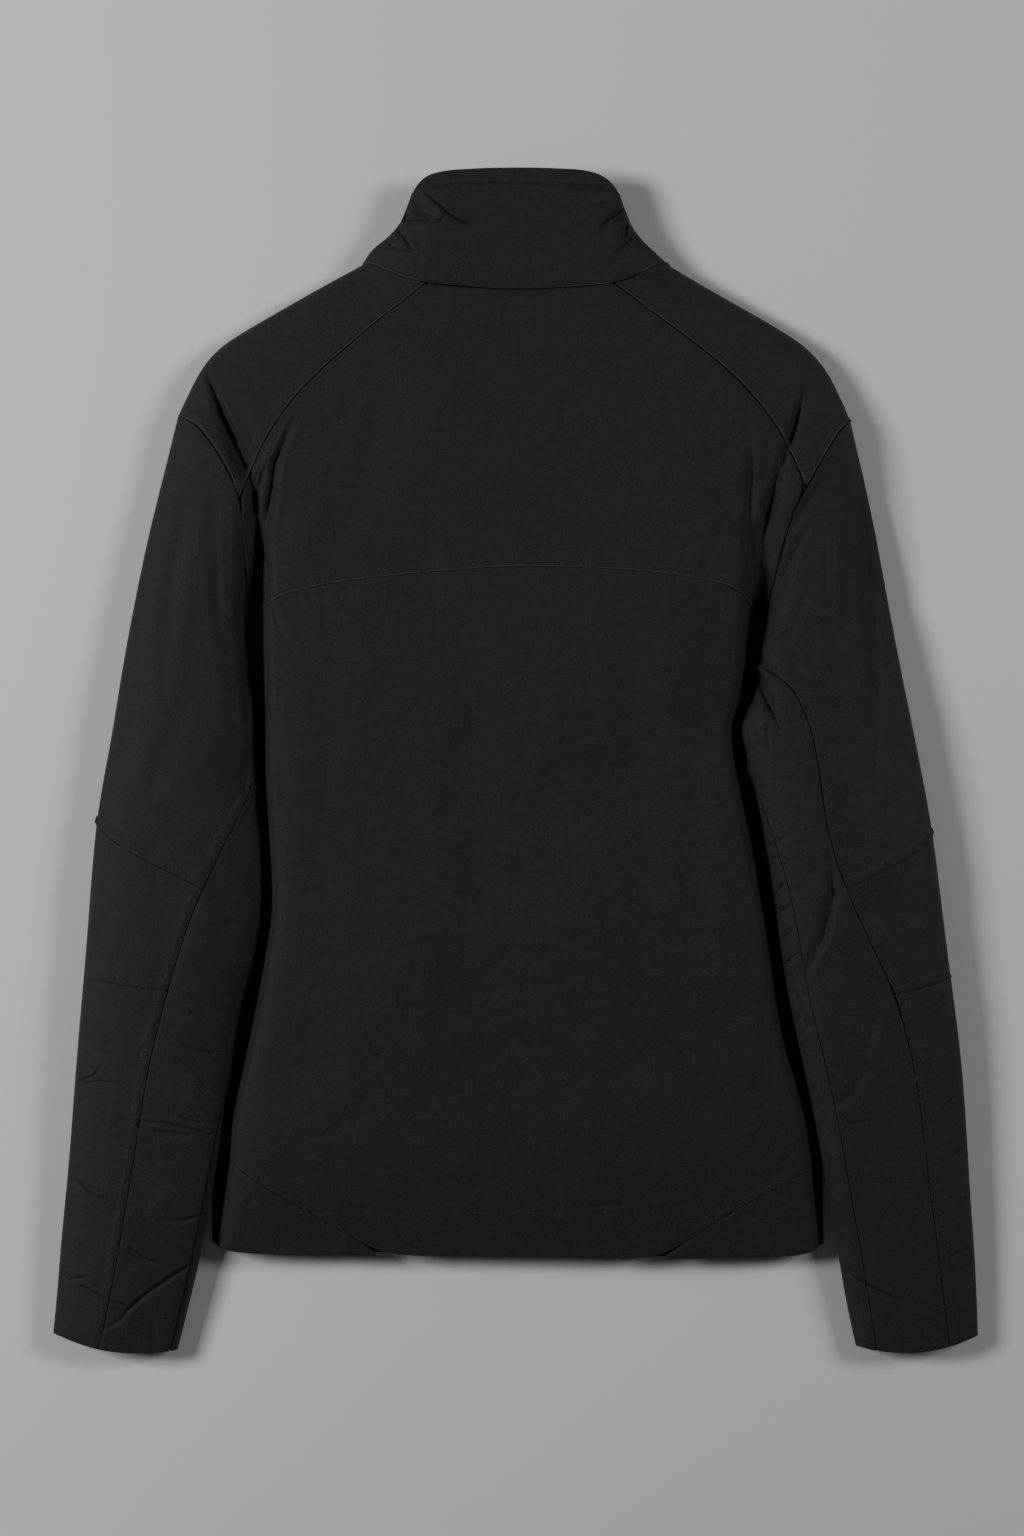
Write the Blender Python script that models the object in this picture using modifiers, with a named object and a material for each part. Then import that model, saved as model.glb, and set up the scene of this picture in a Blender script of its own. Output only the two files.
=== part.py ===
"""Softshell jacket lying flat on its front, back up, made of the panels a maker would cut.

Lengths are in millimetres; MM turns them into metres where a mesh is written. X runs across the
garment, Y from hem to collar, Z up from the surface that it lies on. Left and right are the wearer's.
"""
import math
from collections import namedtuple

import bmesh
import bpy
from mathutils import Vector

MM = 0.001
WALL = 1.5            # laminated softshell cloth
SEAM_GAP = 0.3        # between two panels at a seam
LAID = WALL / 2       # height of the middle of a wall that lies on the surface

# ---- driving sizes -------------------------------------------------------------------------------
SIDE_FOLD_TOP = 6.0      # top layer at the folded side of the body
SHOULDER_EDGE = 5.0      # height of the outermost line of the folded shoulder
SLEEVE_EDGE = 8.0        # height of the outermost line of a sleeve
EDGE_REACH = 55.0        # inset at which a rounded edge has reached its full height
EDGE_POWER = 2.4         # squareness of a rounded edge
SHOULDER_UNDER = 12.0    # how far the shoulder piece turns under
SLEEVE_UNDER = 0.25      # how far the outer sleeve turns under, in half turns of the ring
COLLAR_HEIGHT_FRONT = 12.0   # the collar's front edge above the surface, at its top
BODY_CLEARANCE = 2.4     # between the sleeve and the side of the body under it
LIFT_START = 38.0        # where the sleeve's underside leaves the surface, outside the body's side fold
LIFT_RUN = 27.0          # and over what width it climbs on to the body
CHAIN_WIDTH = 5.6
CHAIN_THICK = 2.0

BodyRow = namedtuple("BodyRow", "y left_fold left_rise right_rise right_fold loft")
BODY = [
    BodyRow(-360, -220, -211, 219, 224, 17),
    BodyRow(-343, -220, -208, 217, 223.5, 20),
    BodyRow(-317, -219.5, -205, 212, 223, 25),
    BodyRow(-288, -219, -200.5, 208.5, 222.5, 29),
    BodyRow(-255, -218, -199, 204, 221, 31),
    BodyRow(-223, -217, -191, 194, 219, 32),
    BodyRow(-187, -216, -183, 184.5, 217, 33),
    BodyRow(-144, -215, -176, 179, 214.5, 34),
    BodyRow(-100, -213, -169.5, 172.5, 212, 34),
    BodyRow(-60, -211, -173, 166, 209, 34),
    BodyRow(-18, -208, -176, 157, 203, 34),
    BodyRow(23, -203, -177, 149.5, 194, 34),
    BodyRow(45, -199, -177, 158, 188, 34),
    BodyRow(60, -196, -177, 161.5, 184, 34),
    BodyRow(80, -192.5, -177.5, 161.5, 180, 34),
    BodyRow(101, -189.5, -178.5, 163, 179.5, 33),
    BodyRow(150, -189, -178, 166, 186, 32),
    BodyRow(240, -189, -178, 166, 186, 31),
    BodyRow(345, -189, -178, 166, 186, 27),
]

# Section of the body's side: anchor 0 is the side fold, 1 the foot of the rise; share is of the loft.
SideRow = namedtuple("SideRow", "anchor inset height share")
SIDE_UNDER = [SideRow(0, 8.0, LAID, 0), SideRow(0, 2.8, LAID, 0), SideRow(0, 0.7, 1.5, 0),
              SideRow(0, 0, 3.3, 0), SideRow(0, 0.8, 5.0, 0), SideRow(0, 3.0, SIDE_FOLD_TOP, 0)]
SIDE_RISE = [SideRow(1, -10.0, SIDE_FOLD_TOP, 0), SideRow(1, -6.5, 4.5, 0.22), SideRow(1, -4.0, 2.5, 0.55),
             SideRow(1, -1.0, 1.0, 0.84), SideRow(1, 4.0, 0, 0.96), SideRow(1, 15.0, 0, 1.0)]
UNDER_COLUMNS = [(side, row) for side in ("left", "right") for row in SIDE_UNDER[:-1]]
UNDERARM_DROP = 7.0      # the side fold starts this far below the underarm point
UNDERARM_STOP = 0.975    # share of the armhole at which the yoke's corner ends
CROWN = 0.07             # extra height in the middle of the back, as a share of the loft

Point = namedtuple("Point", "x y")
SHOULDER_LINE = {
    "left": [Point(-111, 360), Point(-136, 347), Point(-176, 324.5), Point(-205, 307.5), Point(-219, 298.5),
             Point(-226, 290), Point(-232, 278), Point(-238.5, 265), Point(-245, 251)],
    "right": [Point(111, 360), Point(135, 346), Point(161, 331.5), Point(185, 318), Point(205, 306),
              Point(217, 297), Point(226, 285), Point(232.5, 272), Point(238, 261), Point(243, 248.5)],
}
SLANT_SEAM = {
    "left": [Point(-65, 345), Point(-81, 332), Point(-99, 318), Point(-118, 302), Point(-136, 286),
             Point(-154, 269), Point(-167, 253), Point(-178, 237), Point(-186, 222), Point(-194, 202),
             Point(-199, 190)],
    "right": [Point(72, 345), Point(87, 333), Point(106, 319), Point(124, 306), Point(142, 292),
              Point(161, 275), Point(175, 260), Point(186, 246), Point(194, 233), Point(202, 216),
              Point(210, 198)],
}
ARMHOLE = {   # back armhole seam, from the shoulder tip to the underarm point
    "left": [Point(-245, 251), Point(-231, 244), Point(-220, 236), Point(-213, 227), Point(-209, 219),
             Point(-206, 207), Point(-199, 190), Point(-197, 178), Point(-194, 159), Point(-192, 124),
             Point(-190, 101)],
    "right": [Point(243, 248.5), Point(236, 241), Point(230, 233), Point(221, 218), Point(210, 198),
              Point(201, 183), Point(197, 170), Point(192, 148), Point(187, 128), Point(183, 107),
              Point(181, 101)],
}
NECK_BACK = [Point(-111, 360), Point(-106, 360.5), Point(-101, 358.5), Point(-96, 356), Point(-83, 350),
             Point(-65, 345), Point(-49, 343), Point(-23, 341), Point(3, 340), Point(29, 341), Point(50, 342),
             Point(72, 345), Point(83, 348.5), Point(96, 355.5), Point(101, 358.5), Point(106, 360.5),
             Point(111, 360)]
NECK_FRONT = [Point(0, 305), Point(20, 307), Point(50, 318), Point(80, 336), Point(93, 349),
              Point(101, 358.5), Point(106, 360.5), Point(111, 360)]
YOKE_SEAM = [Point(-190, 101), Point(-180, 112), Point(-167, 120), Point(-154, 124), Point(-118, 130.5),
             Point(-81, 134.5), Point(-40, 138), Point(3, 140.5), Point(32, 140), Point(69, 138.5),
             Point(97, 136.5), Point(124, 133), Point(142, 129.5), Point(155, 126), Point(163, 121),
             Point(171, 112), Point(181, 101)]
HEM_EDGE = [Point(-220, -349), Point(-212, -353), Point(-200, -355), Point(-179, -357), Point(-97, -357),
            Point(-15, -358), Point(58, -359), Point(105, -360), Point(163, -359), Point(194, -359),
            Point(211, -356), Point(223.5, -350)]
HEM_SLANT = {
    "left": [Point(-221, -281), Point(-204, -290), Point(-182, -307), Point(-163, -318), Point(-143, -328),
             Point(-123, -340), Point(-97, -357)],
    "right": [Point(105, -360), Point(121, -348), Point(137, -337), Point(156, -326), Point(171, -316),
              Point(194, -304), Point(211, -294), Point(224, -286)],
}

# Seam height along the back armhole: below the slanting seam it leaves the crown and comes down.
SeamHeight = namedtuple("SeamHeight", "along height")
ARMHOLE_HEIGHT = [SeamHeight(0, 40), SeamHeight(0.5, 36), SeamHeight(0.62, 28), SeamHeight(0.75, 24),
                  SeamHeight(0.88, 16), SeamHeight(0.96, 12), SeamHeight(1, SIDE_FOLD_TOP)]

Fold = namedtuple("Fold", "x0 y0 x1 y1 width depth0 depth1")
BODY_FOLDS = [    # troughs of the back, a row for each stretch: start, end, half width, depths
    Fold(-222, 286, -205, 238, 6, 0, 4),
    Fold(-205, 238, -189, 206, 7, 4, 7),
    Fold(-189, 206, -186, 160, 6, 7, 15),
    Fold(-186, 160, -184, 104, 5.5, 15, 22),
    Fold(209, 278, 201, 236, 6, 0, 4),
    Fold(201, 236, 188, 208, 7, 4, 8),
    Fold(188, 208, 179, 160, 6, 8, 13),
    Fold(179, 160, 172, 106, 6.5, 13, 22),
    Fold(167, 242, 168, 150, 5, 0, 7),
    Fold(-92, 286, -121, 167, 12, 0, 2.2),
    Fold(-62, 195, -60, 145, 11, 0, 1.6),
    Fold(-171, 250, -176, 170, 9, 0, 4),
]

SleeveRow = namedtuple("SleeveRow", "outer_x outer_y inner_x inner_y follow dip height lift")
KeyedRow = namedtuple("KeyedRow", ("index",) + SleeveRow._fields)
SLEEVE = {   # follow: how far a row still curves like the armhole; dip: its middle towards the cuff
    "left": [
        SleeveRow(-245, 251, -190, 101, 1.0, 0, 30, 1),
        SleeveRow(-254, 213, -193.5, 88, 0.9, 0, 31, 1),
        SleeveRow(-265, 169, -194, 70, 0.65, 0, 33, 1),
        SleeveRow(-277, 111, -190, 50, 0.4, 0, 35, 1),
        SleeveRow(-286, 60, -188, 28, 0.2, 0, 36, 1),
        SleeveRow(-293, 15, -187.5, 4, 0.08, 0, 36, 1),
        SleeveRow(-300.5, -24, -182.5, -33, 0, 0, 36, 1),
        SleeveRow(-306.5, -75, -180, -85, 0, 0, 36, 1),
        SleeveRow(-310, -125, -186, -136, 0, 1, 35, 1),
        SleeveRow(-314, -170, -200.5, -182, 0, 2, 34, 1),
        SleeveRow(-318, -215, -207, -228, 0, 2, 33, 1),
        SleeveRow(-321, -255, -212, -268, 0, 2, 31, 1),
        SleeveRow(-323.5, -290, -217, -303, 0, 3, 29, 1),
        SleeveRow(-327, -325, -223.5, -338, 0, 4, 27, 0.6),
        SleeveRow(-330, -356, -230, -369, 0, 5, 25, 0),
        SleeveRow(-332, -385, -237, -397, 0, 6, 23, 0),
        SleeveRow(-335, -414, -244.5, -426, 0, 7, 20, 0),
    ],
    "right": [
        SleeveRow(243, 248.5, 181, 101, 1.0, 0, 30, 1),
        SleeveRow(251, 213, 179.5, 88, 0.9, 0, 31, 1),
        SleeveRow(261, 167, 176, 70, 0.6, 0, 33, 1),
        SleeveRow(271, 110, 172, 46, 0.3, 0, 35, 1),
        SleeveRow(281, 58, 158.5, 24, 0.1, 0, 36, 1),
        SleeveRow(290, 14, 168, 1, 0, 0, 36, 1),
        SleeveRow(299, -32, 177, -44, 0, 0, 36, 1),
        SleeveRow(306, -80, 184.5, -92, 0, 0, 36, 1),
        SleeveRow(311.5, -125, 190, -136, 0, 1, 35, 1),
        SleeveRow(317, -170, 198, -182, 0, 2, 34, 1),
        SleeveRow(323, -215, 208.5, -228, 0, 2, 33, 1),
        SleeveRow(326, -255, 217, -268, 0, 2, 31, 1),
        SleeveRow(328, -290, 223, -303, 0, 3, 29, 1),
        SleeveRow(330, -325, 229.5, -338, 0, 4, 27, 0.6),
        SleeveRow(332.5, -356, 235, -369, 0, 5, 25, 0),
        SleeveRow(334, -385, 240, -397, 0, 7, 23, 0),
        SleeveRow(335, -416, 246, -423, 0, 8, 20, 0),
    ],
}
LAST_ROW = len(SLEEVE["left"]) - 1

# Lengthwise sleeve seams, in half turns of the ring: 0 outer line, 0 to 1 over the top, 1 inner line.
SeamTurn = namedtuple("SeamTurn", "row back_seam underarm_seam")
SEAM_TURNS = {
    "left": [SeamTurn(0, 1.18, 1.4), SeamTurn(3, 1.12, 1.35), SeamTurn(5, 1.03, 1.27),
             SeamTurn(6, 0.78, 1.2), SeamTurn(7, 0.618, 1.14), SeamTurn(8, 0.54, 1.1),
             SeamTurn(9, 0.52, 1.05), SeamTurn(10, 0.485, 0.95), SeamTurn(11, 0.474, 0.87),
             SeamTurn(13, 0.452, 0.84), SeamTurn(15, 0.435, 0.835), SeamTurn(16, 0.415, 0.84)],
    "right": [SeamTurn(0, 1.18, 1.4), SeamTurn(1, 1.1, 1.34), SeamTurn(2, 0.96, 1.26),
              SeamTurn(3, 0.69, 1.18), SeamTurn(4, 0.562, 1.1), SeamTurn(5, 0.56, 0.98),
              SeamTurn(6, 0.592, 0.86), SeamTurn(7, 0.55, 0.79), SeamTurn(8, 0.475, 0.767),
              SeamTurn(9, 0.40, 0.765), SeamTurn(10, 0.375, 0.745), SeamTurn(11, 0.372, 0.742),
              SeamTurn(13, 0.355, 0.73), SeamTurn(15, 0.338, 0.72), SeamTurn(16, 0.325, 0.728)],
}
# Crosswise seams of the outer sleeve: sleeve row where each meets the outer line and the back seam.
CrossSeam = namedtuple("CrossSeam", "at_outer at_back_seam")
CROSS_SEAMS = {
    "left": [CrossSeam(6.35, 7.2), CrossSeam(8.7, 8.7)],
    "right": [CrossSeam(6.37, 7.1), CrossSeam(8.66, 8.82)],
}
SLEEVE_FOLDS = {
    "left": [
        Fold(-207, 165, -214, 120, 7, 0, 4),
        Fold(-199, -360, -262, -396, 7, 5, 3),
        Fold(-322, -233, -303, -216, 6, 3, 0),
        Fold(-252, -262, -224, -268, 5, 0, 3),
        Fold(-245, -202, -219, -211, 5, 0, 3),
    ],
    "right": [
        Fold(228, 203, 197, 165, 6, 0, 5),
        Fold(211, 167, 190, 122, 7, 0, 5),
        Fold(250, 205, 251, -8, 12, 2, 4),
        Fold(180, 51, 190, 25, 6, 4, 0),
        Fold(231, -72, 211, -154, 8, 4, 2),
        Fold(264, -112, 280, -140, 6, 3, 0),
    ],
}

CollarRow = namedtuple("CollarRow", "up left right edge height")
COLLAR = [   # half-way heights of the standing collar, from the neck seam to the top edge
    CollarRow(0.0, -111, 111, 5.0, 27),
    CollarRow(0.18, -106, 102.5, 9, 29),
    CollarRow(0.38, -97, 94.5, 13, 31),
    CollarRow(0.62, -85, 85, 15, 31),
    CollarRow(0.85, -79, 79.5, 16.5, 30),
    CollarRow(1.0, -74.5, 75, 17.5, 28),
]
COLLAR_TOP_BACK = [Point(-75, 408), Point(-71.5, 415), Point(-67, 420.5), Point(-61, 424), Point(-46, 426.3),
                   Point(-28, 427.6), Point(8, 428), Point(40, 427), Point(57, 425), Point(66, 421),
                   Point(72, 414.5), Point(75.5, 408)]
COLLAR_TOP_FRONT = [Point(0, 402), Point(40, 404), Point(60, 406.5), Point(75, 408)]

# ---- smooth tables -------------------------------------------------------------------------------


def table_value(rows, key, column, at):
    """Smooth value of one column where the key column equals at; past the ends it stays level."""
    keys = [getattr(row, key) for row in rows]
    values = [getattr(row, column) for row in rows]
    if at <= keys[0]:
        return values[0]
    if at >= keys[-1]:
        return values[-1]
    i = max(j for j in range(len(keys) - 1) if keys[j] <= at)

    def slope(j):
        if j == 0 or j == len(keys) - 1:
            k = 0 if j == 0 else len(keys) - 2
            return (values[k + 1] - values[k]) / (keys[k + 1] - keys[k])
        before = (values[j] - values[j - 1]) / (keys[j] - keys[j - 1])
        after = (values[j + 1] - values[j]) / (keys[j + 1] - keys[j])
        return 0 if before * after <= 0 else 2 * before * after / (before + after)

    span = keys[i + 1] - keys[i]
    t = (at - keys[i]) / span
    h00 = (1 + 2 * t) * (1 - t) ** 2
    h10 = t * (1 - t) ** 2
    h01 = t * t * (3 - 2 * t)
    h11 = t * t * (t - 1)
    return (h00 * values[i] + h10 * span * slope(i) + h01 * values[i + 1] + h11 * span * slope(i + 1))


def along(points, share):
    """Point of a polyline at a share of its length."""
    lengths = [0.0]
    for a, b in zip(points, points[1:]):
        lengths.append(lengths[-1] + math.hypot(b.x - a.x, b.y - a.y))
    target = min(max(share, 0.0), 1.0) * lengths[-1]
    i = max(j for j in range(len(points) - 1) if lengths[j] <= target)
    t = (target - lengths[i]) / (lengths[i + 1] - lengths[i])
    a, b = points[i], points[i + 1]
    return Point(mix(a.x, b.x, t), mix(a.y, b.y, t))


def mix(a, b, t):
    return a + (b - a) * t


def smooth(t):
    t = min(max(t, 0.0), 1.0)
    return t * t * (3 - 2 * t)


def distance_to(points, x, y):
    """Distance from a place to a polyline."""
    best = 1e9
    for a, b in zip(points, points[1:]):
        dx, dy = b.x - a.x, b.y - a.y
        t = min(max(((x - a.x) * dx + (y - a.y) * dy) / (dx * dx + dy * dy), 0.0), 1.0)
        best = min(best, math.hypot(x - a.x - t * dx, y - a.y - t * dy))
    return best


def rounded_edge(inset):
    """Share of the full height at an inset from a rounded edge."""
    t = min(max(inset / EDGE_REACH, 0.0), 1.0)
    return (1 - (1 - t) ** EDGE_POWER) ** (1 / EDGE_POWER)


def under_edge(inset, edge_height):
    """Height of the turned-under cloth at an inset from a rounded edge."""
    t = min(max(inset / edge_height, 0.0), 1.0)
    return LAID + (edge_height - LAID) * (1 - math.sqrt(1 - (1 - t) ** 2))


def fold_depth(folds, x, y):
    """Depth of the troughs at a place: each fades sideways from its line and past its ends."""
    depth = 0.0
    for fold in folds:
        dx, dy = fold.x1 - fold.x0, fold.y1 - fold.y0
        t = min(max(((x - fold.x0) * dx + (y - fold.y0) * dy) / (dx * dx + dy * dy), 0.0), 1.0)
        off = math.hypot(x - fold.x0 - t * dx, y - fold.y0 - t * dy)
        depth = max(depth, mix(fold.depth0, fold.depth1, t) * math.exp(-(off / fold.width) ** 2))
    return depth


# ---- surfaces of the garment ---------------------------------------------------------------------


def crown_height(x, y):
    """Height of the back between its two rises."""
    left = table_value(BODY, "y", "left_rise", y)
    right = table_value(BODY, "y", "right_rise", y)
    middle = (left + right) / 2
    across = min(abs(x - middle) / ((right - left) / 2), 1.0)
    return table_value(BODY, "y", "loft", y) * (1 + CROWN * (1 - across * across))


def body_point(row_side, y):
    """Point of the back in the column of one side-profile row, at a height up the body."""
    side, row = row_side
    fold = table_value(BODY, "y", side + "_fold", y)
    rise = table_value(BODY, "y", side + "_rise", y)
    inward = 1 if side == "left" else -1
    inset = row.inset
    if inset < 0:
        inset *= min(1.0, (abs(fold - rise) - 4.0) / 10)
    x = mix(fold, rise, row.anchor) + inward * inset
    z = row.height + row.share * crown_height(x, y)
    return Vector((x, y, z))


def crown_share(x, y):
    """Share of the way between the two rises at which a place on the crown lies."""
    a = body_point(("left", SIDE_RISE[-1]), y)
    b = body_point(("right", SIDE_RISE[-1]), y)
    return (x - a.x) / (b.x - a.x)


def back_columns():
    """Columns of the lower back from side fold to side fold; two pass the slanting seams' ends."""
    left = [("left", row) for row in SIDE_UNDER + SIDE_RISE]
    right = [("right", row) for row in reversed(SIDE_UNDER + SIDE_RISE)]
    tips = [HEM_SLANT["left"][-1], HEM_SLANT["right"][0]]
    ends = [crown_share(tip.x, tip.y) for tip in tips]
    crown = steps(0, ends[0], 3)[1:] + steps(ends[0], ends[1], 6)[1:] + steps(ends[1], 1, 3)[1:-1]
    return left + crown + right


def back_point(column, y):
    """Point of the lower back in a column: a side row, or a share of the way between the two rises."""
    if isinstance(column, tuple):
        return body_point(column, y)
    a = body_point(("left", SIDE_RISE[-1]), y)
    b = body_point(("right", SIDE_RISE[-1]), y)
    x = mix(a.x, b.x, column)
    z = crown_height(x, y) - fold_depth(BODY_FOLDS, x, y)
    return Vector((x, y, z))


def yoke_end(column):
    """Where a column of the lower back meets the yoke seam; turned-under ones stop below the underarm."""
    if column in UNDER_COLUMNS:
        return YOKE_SEAM[0].y - UNDERARM_DROP
    y = YOKE_SEAM[len(YOKE_SEAM) // 2].y
    for _ in range(8):
        y = table_value(YOKE_SEAM, "x", "y", back_point(column, y).x)
    return y


def shoulder_height(side, x, y):
    """Height of the top layer inside the shoulder line and the neck."""
    inset = distance_to(SHOULDER_LINE[side], x, y)
    full = crown_height(x, y) - fold_depth(BODY_FOLDS, x, y) * smooth(inset / 30)
    return SHOULDER_EDGE + (full - SHOULDER_EDGE) * rounded_edge(inset)


def armhole_top(side, share):
    """Point of the back armhole seam at a share of its length from the shoulder tip."""
    p = along(ARMHOLE[side], share)
    z = min(shoulder_height(side, p.x, p.y), table_value(ARMHOLE_HEIGHT, "along", "height", share))
    return Vector((p.x, p.y, z))


def slant_share(side):
    """Share of the armhole's length at which the slanting shoulder seam meets it."""
    junction = SLANT_SEAM[side][-1]

    def distance(share):
        place = along(ARMHOLE[side], share)
        return math.hypot(place.x - junction.x, place.y - junction.y)
    return min((i / 400 for i in range(401)), key=distance)


def turn_to_across(turn):
    """Share of a sleeve's width, from its outer line, at a half turn of its ring."""
    return (1 - math.cos(math.pi * turn)) / 2


def across_to_turn(share):
    return math.acos(1 - 2 * share) / math.pi


def side_lift(side, x, y, lift):
    """How high the sleeve's underside rides over the side of the body."""
    fold = table_value(BODY, "y", side + "_fold", y)
    over = (x - fold) if side == "left" else (fold - x)
    return lift * (SIDE_FOLD_TOP + BODY_CLEARANCE) * smooth((over + LIFT_START) / LIFT_RUN)


def sleeve_point(side, row, turn):
    """Point of a sleeve at a row down its length and a half turn round its ring."""
    keyed = [KeyedRow(i, *r) for i, r in enumerate(SLEEVE[side])]
    value = {name: table_value(keyed, "index", name, row) for name in SleeveRow._fields}
    across = turn_to_across(turn)
    x = mix(value["outer_x"], value["inner_x"], across)
    y = mix(value["outer_y"], value["inner_y"], across)
    start, end = ARMHOLE[side][0], ARMHOLE[side][-1]
    seam = along(ARMHOLE[side], across)
    x += value["follow"] * (seam.x - mix(start.x, end.x, across))
    y += value["follow"] * (seam.y - mix(start.y, end.y, across))
    y -= value["dip"] * math.sin(math.pi * across)
    width = math.hypot(value["outer_x"] - value["inner_x"], value["outer_y"] - value["inner_y"])
    inset = min(across, 1 - across) * width
    floor = side_lift(side, x, y, value["lift"] * smooth(row / 0.8))
    if turn < 0 or turn > 1:
        edge_x = mix(value["outer_x"], value["inner_x"], round(across))
        edge_floor = side_lift(side, edge_x, y, value["lift"] * smooth(row / 0.8))
        edge = mix(armhole_top(side, round(across)).z, SLEEVE_EDGE + edge_floor, smooth(row / 2.2))
        z = floor + under_edge(inset, edge - edge_floor)
    else:
        edge = SLEEVE_EDGE + floor
        bulge = (1 - abs(1 - 2 * across) ** EDGE_POWER) ** (1 / EDGE_POWER)
        z = edge + (value["height"] + floor * 0.3 - edge) * bulge
        z -= fold_depth(SLEEVE_FOLDS[side], x, y) * smooth(inset / 14)
        z = mix(armhole_top(side, across).z, z, smooth(row / 2.2))
    return Vector((x, y, z))


def collar_point(turn, up):
    """Point of the collar: turn 0 to 1 over the back from its left fold to its right, else the front."""
    value = {name: table_value(COLLAR, "up", name, up) for name in CollarRow._fields}
    across = turn_to_across(turn)
    centre = CHAIN_WIDTH / 2 + SEAM_GAP / 2
    if turn < 0:
        x = mix(value["left"], -centre, 2 * across)
    elif turn > 1:
        x = mix(value["right"], centre, 2 * (1 - across))
    else:
        x = mix(value["left"], value["right"], across)
    inset = min(x - value["left"], value["right"] - x)
    if 0 <= turn <= 1:
        bottom = table_value(NECK_BACK, "x", "y", x)
        top = table_value(COLLAR_TOP_BACK, "x", "y", x)
        z = value["edge"] + (value["height"] - value["edge"]) * rounded_edge(inset)
        neck = shoulder_height("left" if x < 0 else "right", x, bottom)
        z = mix(neck, z, smooth(up / 0.25))
    else:
        bottom = table_value(NECK_FRONT, "x", "y", abs(x))
        top = table_value(COLLAR_TOP_FRONT, "x", "y", abs(x))
        rise = COLLAR_HEIGHT_FRONT * up ** 1.2
        t = min(max(inset / (value["edge"] * (1 + 0.6 * up)), 0.0), 1.0)
        z = LAID + rise + (value["edge"] - LAID - rise) * (1 - math.sqrt(1 - (1 - t) ** 2))
    return Vector((x, mix(bottom, top, up), z))


# ---- building ------------------------------------------------------------------------------------

MATERIALS = {   # base colour, roughness, metallic
    "softshell": ((0.018, 0.019, 0.021, 1), 0.82, 0.0),
    "zip_nylon": ((0.012, 0.012, 0.013, 1), 0.5, 0.0),
    "zip_metal": ((0.03, 0.03, 0.032, 1), 0.35, 0.9),
}


def finish(obj, kind):
    """Gives an object its own material of one kind and puts it in the garment's collection."""
    colour, roughness, metallic = MATERIALS[kind]
    material = bpy.data.materials.new(obj.name + "_" + kind)
    material.use_nodes = True
    shader = material.node_tree.nodes["Principled BSDF"]
    shader.inputs["Base Color"].default_value = colour
    shader.inputs["Roughness"].default_value = roughness
    shader.inputs["Metallic"].default_value = metallic
    obj.data.materials.append(material)
    garment.objects.link(obj)
    return obj


# What an edge is drawn in beyond half the seam gap, where cloth bends over the seam: all along it, and
# at its first and last station, from which that fades over a number of stations.
Ease = namedtuple("Ease", "all_along first last fade", defaults=(0, 0, 0, 4))
LEAST_CELL = 0.2         # what drawing in leaves of a cell
NO_EASE = Ease()


def eased(ease, i, count):
    near = max(0.0, 1 - i / ease.fade)
    far = max(0.0, 1 - (count - 1 - i) / ease.fade)
    return ease.all_along + ease.first * near + ease.last * far


def draw_in(grid, ease):
    """Moves the four edges of a grid inwards, square to each, by half the seam gap and the ease."""
    def shift(edge, inner, amounts):
        moved = []
        for i, point in enumerate(edge):
            tangent = edge[min(i + 1, len(edge) - 1)] - edge[max(i - 1, 0)]
            inward = inner[i] - point
            if tangent.length > 1e-6:
                inward -= inward.project(tangent)
            step = SEAM_GAP / 2 + eased(amounts, i, len(edge))
            room = inward.length > step + LEAST_CELL
            moved.append(point + inward.normalized() * step if room else point.copy())
        return moved
    columns, rows = len(grid), len(grid[0])
    grid[0] = shift(grid[0], grid[1], ease[0])
    grid[-1] = shift(grid[-1], grid[-2], ease[1])
    for j, inner, amounts in ((0, 1, ease[2]), (rows - 1, rows - 2, ease[3])):
        edge = shift([column[j] for column in grid], [column[inner] for column in grid], amounts)
        for i, point in enumerate(edge):
            grid[i][j] = point


def cloth_panel(name, place, columns, rows, wall=WALL, kind="softshell", ease=(NO_EASE,) * 4):
    """Lays a grid over a surface place(column, row), draws it in and gives it a wall."""
    grid = [[place(column, row) for row in rows] for column in columns]
    draw_in(grid, ease)
    bm = bmesh.new()
    bmesh.ops.create_grid(bm, x_segments=len(columns) - 1, y_segments=len(rows) - 1, size=1)
    for vertex in bm.verts:
        i = round((vertex.co.x + 1) / 2 * (len(columns) - 1))
        j = round((vertex.co.y + 1) / 2 * (len(rows) - 1))
        vertex.co = grid[i][j] * MM
    bmesh.ops.remove_doubles(bm, verts=bm.verts, dist=0.00002)
    mesh = bpy.data.meshes.new(name)
    bm.to_mesh(mesh)
    bm.free()
    mesh.shade_smooth()
    shell = finish(bpy.data.objects.new(name, mesh), kind)
    thicken = shell.modifiers.new("Wall", "SOLIDIFY")
    thicken.thickness = wall * MM
    thicken.offset = 0
    thicken.use_quality_normals = True
    return shell


def steps(start, end, count):
    return [mix(start, end, i / count) for i in range(count + 1)]


# ---- body panels ---------------------------------------------------------------------------------

LOWER_ROWS = 13
CORNER_ROWS = 3
SLANT_ROWS = 9
CORNER_BLUNT = 4.0       # the corner piece ends this far before its point
ARMHOLE_ROWS = 5


def hem_seam(x):
    """Lower edge of the lower back: the two slanting hem seams, and the hem between them."""
    if x < HEM_SLANT["left"][-1].x:
        return table_value(HEM_SLANT["left"], "x", "y", x)
    if x > HEM_SLANT["right"][0].x:
        return table_value(HEM_SLANT["right"], "x", "y", x)
    return table_value(HEM_EDGE, "x", "y", x)


def column_end(column, height_at):
    """Where a column of the back meets a line given as a height for each x."""
    y = HEM_SLANT["left"][4].y
    for _ in range(12):
        y = mix(y, height_at(back_point(column, y).x), 0.8)
    return y


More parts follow.
